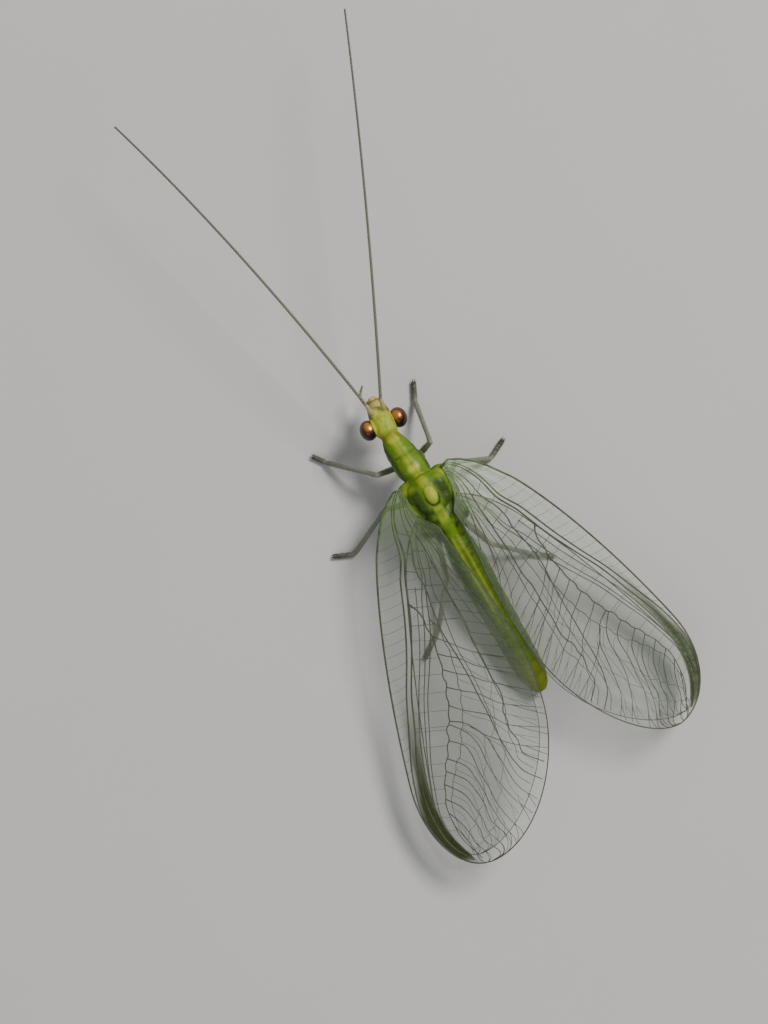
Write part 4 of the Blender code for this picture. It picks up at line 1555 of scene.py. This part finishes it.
FORE_PLANS = {
    Side.LEFT: WingPlan(Side.LEFT, (1.20, 0.16), 16.5, 13.32, 0.158, 0.251, FORE_OUTLINE),
    Side.RIGHT: WingPlan(Side.RIGHT, (-1.20, 0.16), 12.3, 12.21, 0.193, 0.194, FORE_OUTLINE),
}
HIND_PLANS = {
    Side.LEFT: WingPlan(Side.LEFT, (1.06, 1.36), 20.3, 13.32 * HIND_LENGTH, 0.105, 0.256, HIND_OUTLINE),
    Side.RIGHT: WingPlan(Side.RIGHT, (-1.06, 1.36), 16.6, 12.21 * HIND_LENGTH, 0.140, 0.236, HIND_OUTLINE),
}


def roof_height(forewing: WingPlan, place: Vector) -> float:
    """The height of the wings' roof-like surface over a place on the floor, in millimetres."""
    away = place - Vector(forewing.root)
    share = max(0.0, away.dot(forewing.axis()) / forewing.length)
    across = away.dot(forewing.across())
    return 2.66 - 0.65 * share**1.2 - 0.25 * across - 0.030 * across**2


@dataclass(frozen=True)
class Venation:
    """The veins of one kind of wing, as knots of share and chord."""

    subcosta: tuple[Pair, ...]
    radius: tuple[Pair, ...]
    second: tuple[Pair, ...]
    sector: tuple[Pair, ...]
    media: tuple[Pair, ...]
    cubitus: tuple[Pair, ...]
    anals: tuple[tuple[Pair, ...], ...]
    branches: tuple[tuple[Pair, ...], ...]
    costal_cells: int
    costal_span: Pair


def fore_chords(*knots: Pair) -> tuple[Pair, ...]:
    """Knots of share and chord, from knots of share and offset on the left forewing."""
    plan = FORE_PLANS[Side.LEFT]
    return tuple((share, plan.chord_at(share, offset)) for share, offset in knots)


# The left forewing's veins, as knots of share and of offset from the wing's own line.
FORE_LINES = {
    "subcosta": (
        (0.0, 0.012), (0.10, 0.033), (0.20, 0.050), (0.30, 0.063), (0.40, 0.082), (0.50, 0.107),
        (0.60, 0.125), (0.70, 0.142), (0.78, 0.147), (0.86, 0.138), (0.93, 0.105),
    ),
    "radius": (
        (0.0, 0.008), (0.10, 0.023), (0.20, 0.036), (0.30, 0.047), (0.40, 0.068), (0.50, 0.093),
        (0.60, 0.108), (0.70, 0.125), (0.80, 0.126), (0.88, 0.110), (0.94, 0.082), (0.985, 0.035),
    ),
    "second": (
        (0.22, 0.014), (0.30, 0.026), (0.36, 0.036), (0.42, 0.050), (0.50, 0.072), (0.60, 0.095),
        (0.70, 0.108), (0.80, 0.108), (0.86, 0.097), (0.92, 0.074), (0.97, 0.040),
    ),
    "sector": (
        (0.26, 0.042), (0.285, 0.022), (0.31, 0.012), (0.335, 0.010), (0.36, 0.0), (0.41, -0.002),
        (0.45, -0.006), (0.475, -0.001), (0.495, -0.007), (0.525, 0.002), (0.55, 0.0), (0.58, 0.009),
        (0.60, 0.010), (0.62, 0.024), (0.645, 0.022), (0.665, 0.033), (0.69, 0.036), (0.71, 0.049),
        (0.735, 0.053), (0.765, 0.065), (0.79, 0.067), (0.82, 0.074), (0.87, 0.067), (0.93, 0.048),
        (0.985, 0.012),
    ),
    "media": (
        (0.0, 0.0), (0.08, -0.002), (0.15, 0.001), (0.19, -0.002), (0.22, -0.012), (0.30, -0.020),
        (0.36, -0.030), (0.42, -0.050), (0.50, -0.073), (0.55, -0.084), (0.60, -0.097), (0.65, -0.107),
        (0.70, -0.120), (0.74, -0.134), (0.78, -0.158), (0.81, -0.198),
    ),
    "cubitus": (
        (0.0, -0.006), (0.08, -0.022), (0.18, -0.052), (0.27, -0.075), (0.35, -0.098), (0.39, -0.102),
        (0.45, -0.118), (0.51, -0.131), (0.55, -0.144), (0.58, -0.145), (0.605, -0.138), (0.63, -0.144),
        (0.655, -0.143), (0.69, -0.159), (0.73, -0.166), (0.765, -0.215),
    ),
}
FORE_ANALS = (
    ((0.0, -0.010), (0.08, -0.040), (0.18, -0.085), (0.28, -0.135), (0.37, -0.205)),
    ((0.0, -0.014), (0.06, -0.040), (0.13, -0.075), (0.21, -0.130)),
)
FORE_BRANCHES = (
    ((0.36, 0.0), (0.375, -0.02), (0.385, -0.036), (0.42, -0.085), (0.435, -0.115), (0.48, -0.225)),
    ((0.41, -0.002), (0.425, -0.03), (0.435, -0.055), (0.465, -0.095), (0.48, -0.124), (0.53, -0.238)),
    ((0.455, -0.005), (0.475, -0.04), (0.485, -0.069), (0.51, -0.105), (0.525, -0.136), (0.575, -0.244)),
    ((0.505, -0.004), (0.525, -0.045), (0.54, -0.081), (0.57, -0.12), (0.585, -0.144), (0.62, -0.246)),
    ((0.555, 0.002), (0.575, -0.03), (0.602, -0.092), (0.63, -0.125), (0.645, -0.144), (0.675, -0.242)),
    ((0.598, 0.010), (0.612, -0.03), (0.65, -0.068), (0.68, -0.112), (0.705, -0.160), (0.73, -0.233)),
    (
        (0.607, 0.012), (0.64, -0.03), (0.68, -0.052), (0.72, -0.060), (0.76, -0.070), (0.80, -0.086),
        (0.85, -0.114), (0.895, -0.150),
    ),
    (
        (0.650, 0.025), (0.67, -0.012), (0.70, -0.027), (0.75, -0.036), (0.80, -0.052), (0.85, -0.064),
        (0.90, -0.088), (0.945, -0.112),
    ),
    (
        (0.697, 0.040), (0.725, -0.002), (0.76, -0.020), (0.80, -0.034), (0.86, -0.048), (0.92, -0.070),
        (0.968, -0.092),
    ),
    ((0.730, 0.052), (0.765, 0.004), (0.80, -0.015), (0.84, -0.029), (0.90, -0.042), (0.985, -0.068)),
    ((0.765, 0.064), (0.80, 0.020), (0.84, 0.001), (0.88, -0.014), (0.93, -0.028), (0.998, -0.046)),
    ((0.805, 0.071), (0.835, 0.034), (0.87, 0.014), (0.90, 0.001), (0.95, -0.014), (1.0, -0.025)),
    ((0.845, 0.071), (0.88, 0.044), (0.915, 0.028), (0.95, 0.014), (1.0, -0.004)),
    ((0.885, 0.063), (0.925, 0.042), (0.96, 0.026), (0.995, 0.012)),
    (
        (0.625, -0.042), (0.66, -0.076), (0.70, -0.090), (0.75, -0.107), (0.80, -0.123), (0.83, -0.142),
        (0.86, -0.172),
    ),
)
FORE_VENATION = Venation(
    **{name: fore_chords(*knots) for name, knots in FORE_LINES.items()},
    anals=tuple(fore_chords(*knots) for knots in FORE_ANALS),
    branches=tuple(fore_chords(*knots) for knots in FORE_BRANCHES),
    costal_cells=24,
    costal_span=(0.055, 0.80),
)


def drawn_forward(knots: Sequence[Pair]) -> tuple[Pair, ...]:
    """Knots of the forewing moved for the hind wing, whose first veins lie closer to its front margin."""
    return tuple((share, chord * min(1.0, chord / 0.30) ** 0.6) for share, chord in knots)


HIND_VENATION = Venation(
    **{name: drawn_forward(getattr(FORE_VENATION, name)) for name in FORE_LINES},
    anals=FORE_VENATION.anals,
    branches=tuple(drawn_forward(knots) for knots in FORE_VENATION.branches),
    costal_cells=18,
    costal_span=(0.12, 0.76),
)


class WingPair(Enum):
    """Which of an insect's two pairs a wing belongs to, with how far it lies under the roof's middle."""

    FORE = 0.20
    HIND = 0.78

    @property
    def node(self) -> str:
        """The start of the solids' names."""
        return f"{self.name.lower()}wing"


@dataclass
class Wing:
    """One wing: a closed thin membrane with its net of veins."""

    plan: WingPlan
    roof: WingPlan
    pair: WingPair
    veins: Venation
    along: int = 120
    across: int = 46
    thickness: float = 0.012
    pleat: float = 0.018
    step: float = 0.14
    fineness: float = 1.0

    @property
    def node(self) -> str:
        """The name of the wing's solid."""
        return f"{self.pair.node}_{self.plan.side.word}"

    def point(self, share: float, chord: float) -> Vector:
        """A point in the middle of the membrane, in millimetres from the datum."""
        flat = self.plan.flat_place(share, chord)
        fade = rise(0.02, 0.2, share) * rise(1.0, 0.9, share)
        fade = fade * rise(0.0, 0.06, chord) * rise(1.0, 0.94, chord)
        fold = self.pleat * math.sin(chord * 40.0) * fade
        return Vector((flat.x, flat.y, roof_height(self.roof, flat) - self.pair.value + fold))

    def mark(self, share: float, chord: float) -> float:
        """How dark a forewing's membrane is by the front margin near the tip: the stigma's green, darkened with
        painted shade of the stacked wing edges.
        """
        if self.pair is WingPair.HIND:
            return 0.0
        inner = read_between(self.veins.second, share)
        outer = 0.05 * rise(0.90, 0.72, share)
        across = rise(inner + 0.02, inner - 0.01, chord) * rise(outer - 0.02, outer + 0.02, chord)
        return rise(0.42, 0.80, share) * rise(1.0, 0.97, share) * across

    def build_membrane(self, finish: Finish) -> None:
        """Builds and dresses the membrane."""
        Bench.free()
        bpy.ops.mesh.primitive_grid_add(x_subdivisions=self.along, y_subdivisions=self.across, size=2.0)
        sheet = bpy.context.object
        sheet.name = f"{self.node}_membrane"
        data = sheet.data
        root_layer = data.attributes.new("root", "FLOAT", "POINT")
        stigma_and_shade_layer = data.attributes.new("mark", "FLOAT", "POINT")
        for i, vertex in enumerate(data.vertices):
            t = (vertex.co.x + 1) / 2
            share = TIP_SHARE * (1 - (1 - t) ** 1.35)
            chord = (vertex.co.y + 1) / 2
            root_layer.data[i].value = rise(0.13, 0.0, share) * (0.60 + 0.40 * rise(0.8, 0.3, chord))
            stigma_and_shade_layer.data[i].value = self.mark(share, chord)
            vertex.co = in_frame(self.point(share, chord))
        Bench.mend(1e-7)
        Bench.finish_with(sheet, "SOLIDIFY", thickness=self.thickness * MM, offset=0.0)
        bpy.ops.object.shade_smooth_by_angle(angle=math.radians(40))
        finish.dress(sheet, self.node)

    def line(self, start: Pair, end: Pair, first: float, last: float, bow: float = 0.0) -> Rod:
        """A vein between two points of the wing.

        Args:
            start: its share and chord at the start.
            end: its share and chord at the end.
            first: its radius at the start, in millimetres.
            last: its radius at the end.
            bow: how far its middle is bowed along the wing, as a share of the wing's length.

        Returns:
            Places with radii.
        """
        gap = (self.point(*start) - self.point(*end)).length
        count = max(2, round(gap / self.step))
        rows = []
        for t in even_steps(count):
            share = mix(start[0], end[0], t) + bow * math.sin(math.pi * t)
            place = self.point(min(share, TIP_SHARE), clamp(mix(start[1], end[1], t)))
            rows.append((place, mix(first, last, t) * self.fineness))
        return rows

    def long_vein(self, knots: Sequence[Pair], first: float, last: float) -> Rod:
        """A long vein through its knots, from one radius to another and thinner near the wing's root."""
        low, high = knots[0][0], knots[-1][0]
        count = max(4, round((high - low) * self.plan.length / self.step))
        rows = []
        for t in even_steps(count):
            share = mix(low, high, t)
            chord = clamp(read_between(knots, share))
            radius = mix(first, last, t) * self.fineness * (0.5 + 0.5 * rise(0.0, 0.14, share))
            rows.append((self.point(min(share, TIP_SHARE), chord), radius))
        return rows

    def margin(self) -> Rod:
        """The vein that runs round the whole wing."""
        rows, steps = [], even_steps(100)
        for chord, shares in ((0.0, steps), (1.0, steps[::-1])):
            for t in shares:
                share = TIP_SHARE * (1 - (1 - t) ** 1.6)
                radius = (0.040 - 0.014 * t) if chord == 0.0 else 0.022
                rows.append((self.point(share, chord), radius * self.fineness))
        return rows

    def net(self) -> list[Rod]:
        """Every vein of the wing, as rods."""
        veins = self.veins
        rods = [self.margin()]
        rods.append(self.long_vein(veins.subcosta, 0.036, 0.024))
        rods.append(self.long_vein(veins.radius, 0.040, 0.022))
        if self.pair is WingPair.FORE:
            rods.append(self.long_vein(veins.second, 0.016, 0.022))
        rods.append(self.long_vein(veins.sector, 0.028, 0.016))
        rods.append(self.long_vein(veins.media, 0.030, 0.018))
        rods.append(self.long_vein(veins.cubitus, 0.032, 0.018))
        rods += [self.long_vein(knots, 0.026, 0.016) for knots in veins.anals]
        rods += self.costal_rungs() + self.branches()
        if self.pair is WingPair.FORE:
            rods += self.rungs()
        return rods

    def costal_rungs(self) -> list[Rod]:
        """The rungs between the front margin and the subcosta."""
        low, high = self.veins.costal_span
        rods = []
        for i in range(self.veins.costal_cells):
            share = low + (high - low) * i / (self.veins.costal_cells - 1)
            chord = read_between(self.veins.subcosta, share)
            rods.append(self.line((share, chord), (share + 0.014, 0.0), 0.0065, 0.0055, 0.003))
        return rods

    def branches(self) -> list[Rod]:
        """The branches that sweep to the hind margin and the tip, each forked before it ends."""
        rods = []
        first, last = (0.018, 0.011) if self.pair is WingPair.FORE else (0.012, 0.010)
        for knots in self.veins.branches:
            rods.append(self.long_vein(knots, first, last))
            (low, _), (high, outer) = knots[-2:]
            fork = mix(low, high, 0.25)
            start = (fork, read_between(knots, fork))
            end = (min(0.999, high + 0.019), min(1.0, outer + 0.01)) if outer > 0.9 else (0.999, outer - 0.06)
            rods.append(self.line(start, end, 0.012, 0.010, 0.002))
        return rods

    def rungs(self) -> list[Rod]:
        """A forewing's fine cross veins, and the short forked veins behind its cubitus."""
        veins, rods = self.veins, []
        for knots in veins.branches[:-1]:
            share = knots[0][0] + 0.012
            upper = (share - 0.012, read_between(veins.radius, share - 0.012))
            rods.append(self.line(upper, (share, read_between(veins.sector, share)), 0.007, 0.007))
        for i, (upper, lower) in enumerate(zip(veins.branches[1:14], veins.branches[:13])):
            for share in (0.52,) if i < 5 else (0.40, 0.66):
                first = mix(upper[0][0], upper[-1][0], share)
                second = mix(lower[0][0], lower[-1][0], share + 0.03)
                start = (first, read_between(upper, first))
                rods.append(self.line(start, (second, read_between(lower, second)), 0.008, 0.008))
        for i in range(8):
            share = 0.24 + 0.033 * i
            start = (share, read_between(veins.cubitus, share))
            rods.append(self.line(start, (share + 0.042, 1.0), 0.010, 0.008, 0.002))
            middle = (share + 0.018, start[1] + (1 - start[1]) * 0.45)
            rods.append(self.line(middle, (share + 0.062, 1.0), 0.008, 0.007, -0.002))
        for share in (0.07, 0.12, 0.17, 0.22, 0.27, 0.32):
            for upper, lower in ((veins.radius, veins.media), (veins.media, veins.cubitus)):
                start = (share, read_between(upper, share))
                end = (share + 0.010, read_between(lower, share + 0.010))
                rods.append(self.line(start, end, 0.012, 0.012))
        return rods

    def build(self, membrane: Finish, vein: Finish) -> None:
        """Builds and dresses the membrane and its veins."""
        self.build_membrane(membrane)
        veins = Bench.rod(self.net(), f"{self.node}_veins", 1)
        bpy.ops.object.shade_smooth()
        axis, root = self.plan.axis(), Vector(self.plan.root)
        length = self.plan.length
        Bench.paint(veins, "along", lambda place, normal: (place.xy - root).dot(axis) / length)
        vein.dress(veins)


def build_wings() -> None:
    """Builds both pairs of wings."""
    membrane, vein = MembraneFinish(), VeinFinish()
    for side in Side:
        Wing(FORE_PLANS[side], FORE_PLANS[side], WingPair.FORE, FORE_VENATION).build(membrane, vein)
        hind = Wing(HIND_PLANS[side], FORE_PLANS[side], WingPair.HIND, HIND_VENATION, fineness=0.62)
        hind.build(membrane, vein)


def main() -> None:
    """Builds the studio and every piece of the insect, in order."""
    logging.basicConfig(level=logging.INFO, format="%(message)s")
    studio = Studio()
    studio.make_floor()
    studio.make_lights()
    studio.make_camera()
    BodySkin().build()
    Eyes().build()
    Feelers().build()
    Legs().build()
    build_wings()
    Bench.free()


if __name__ == "__main__":
    main()
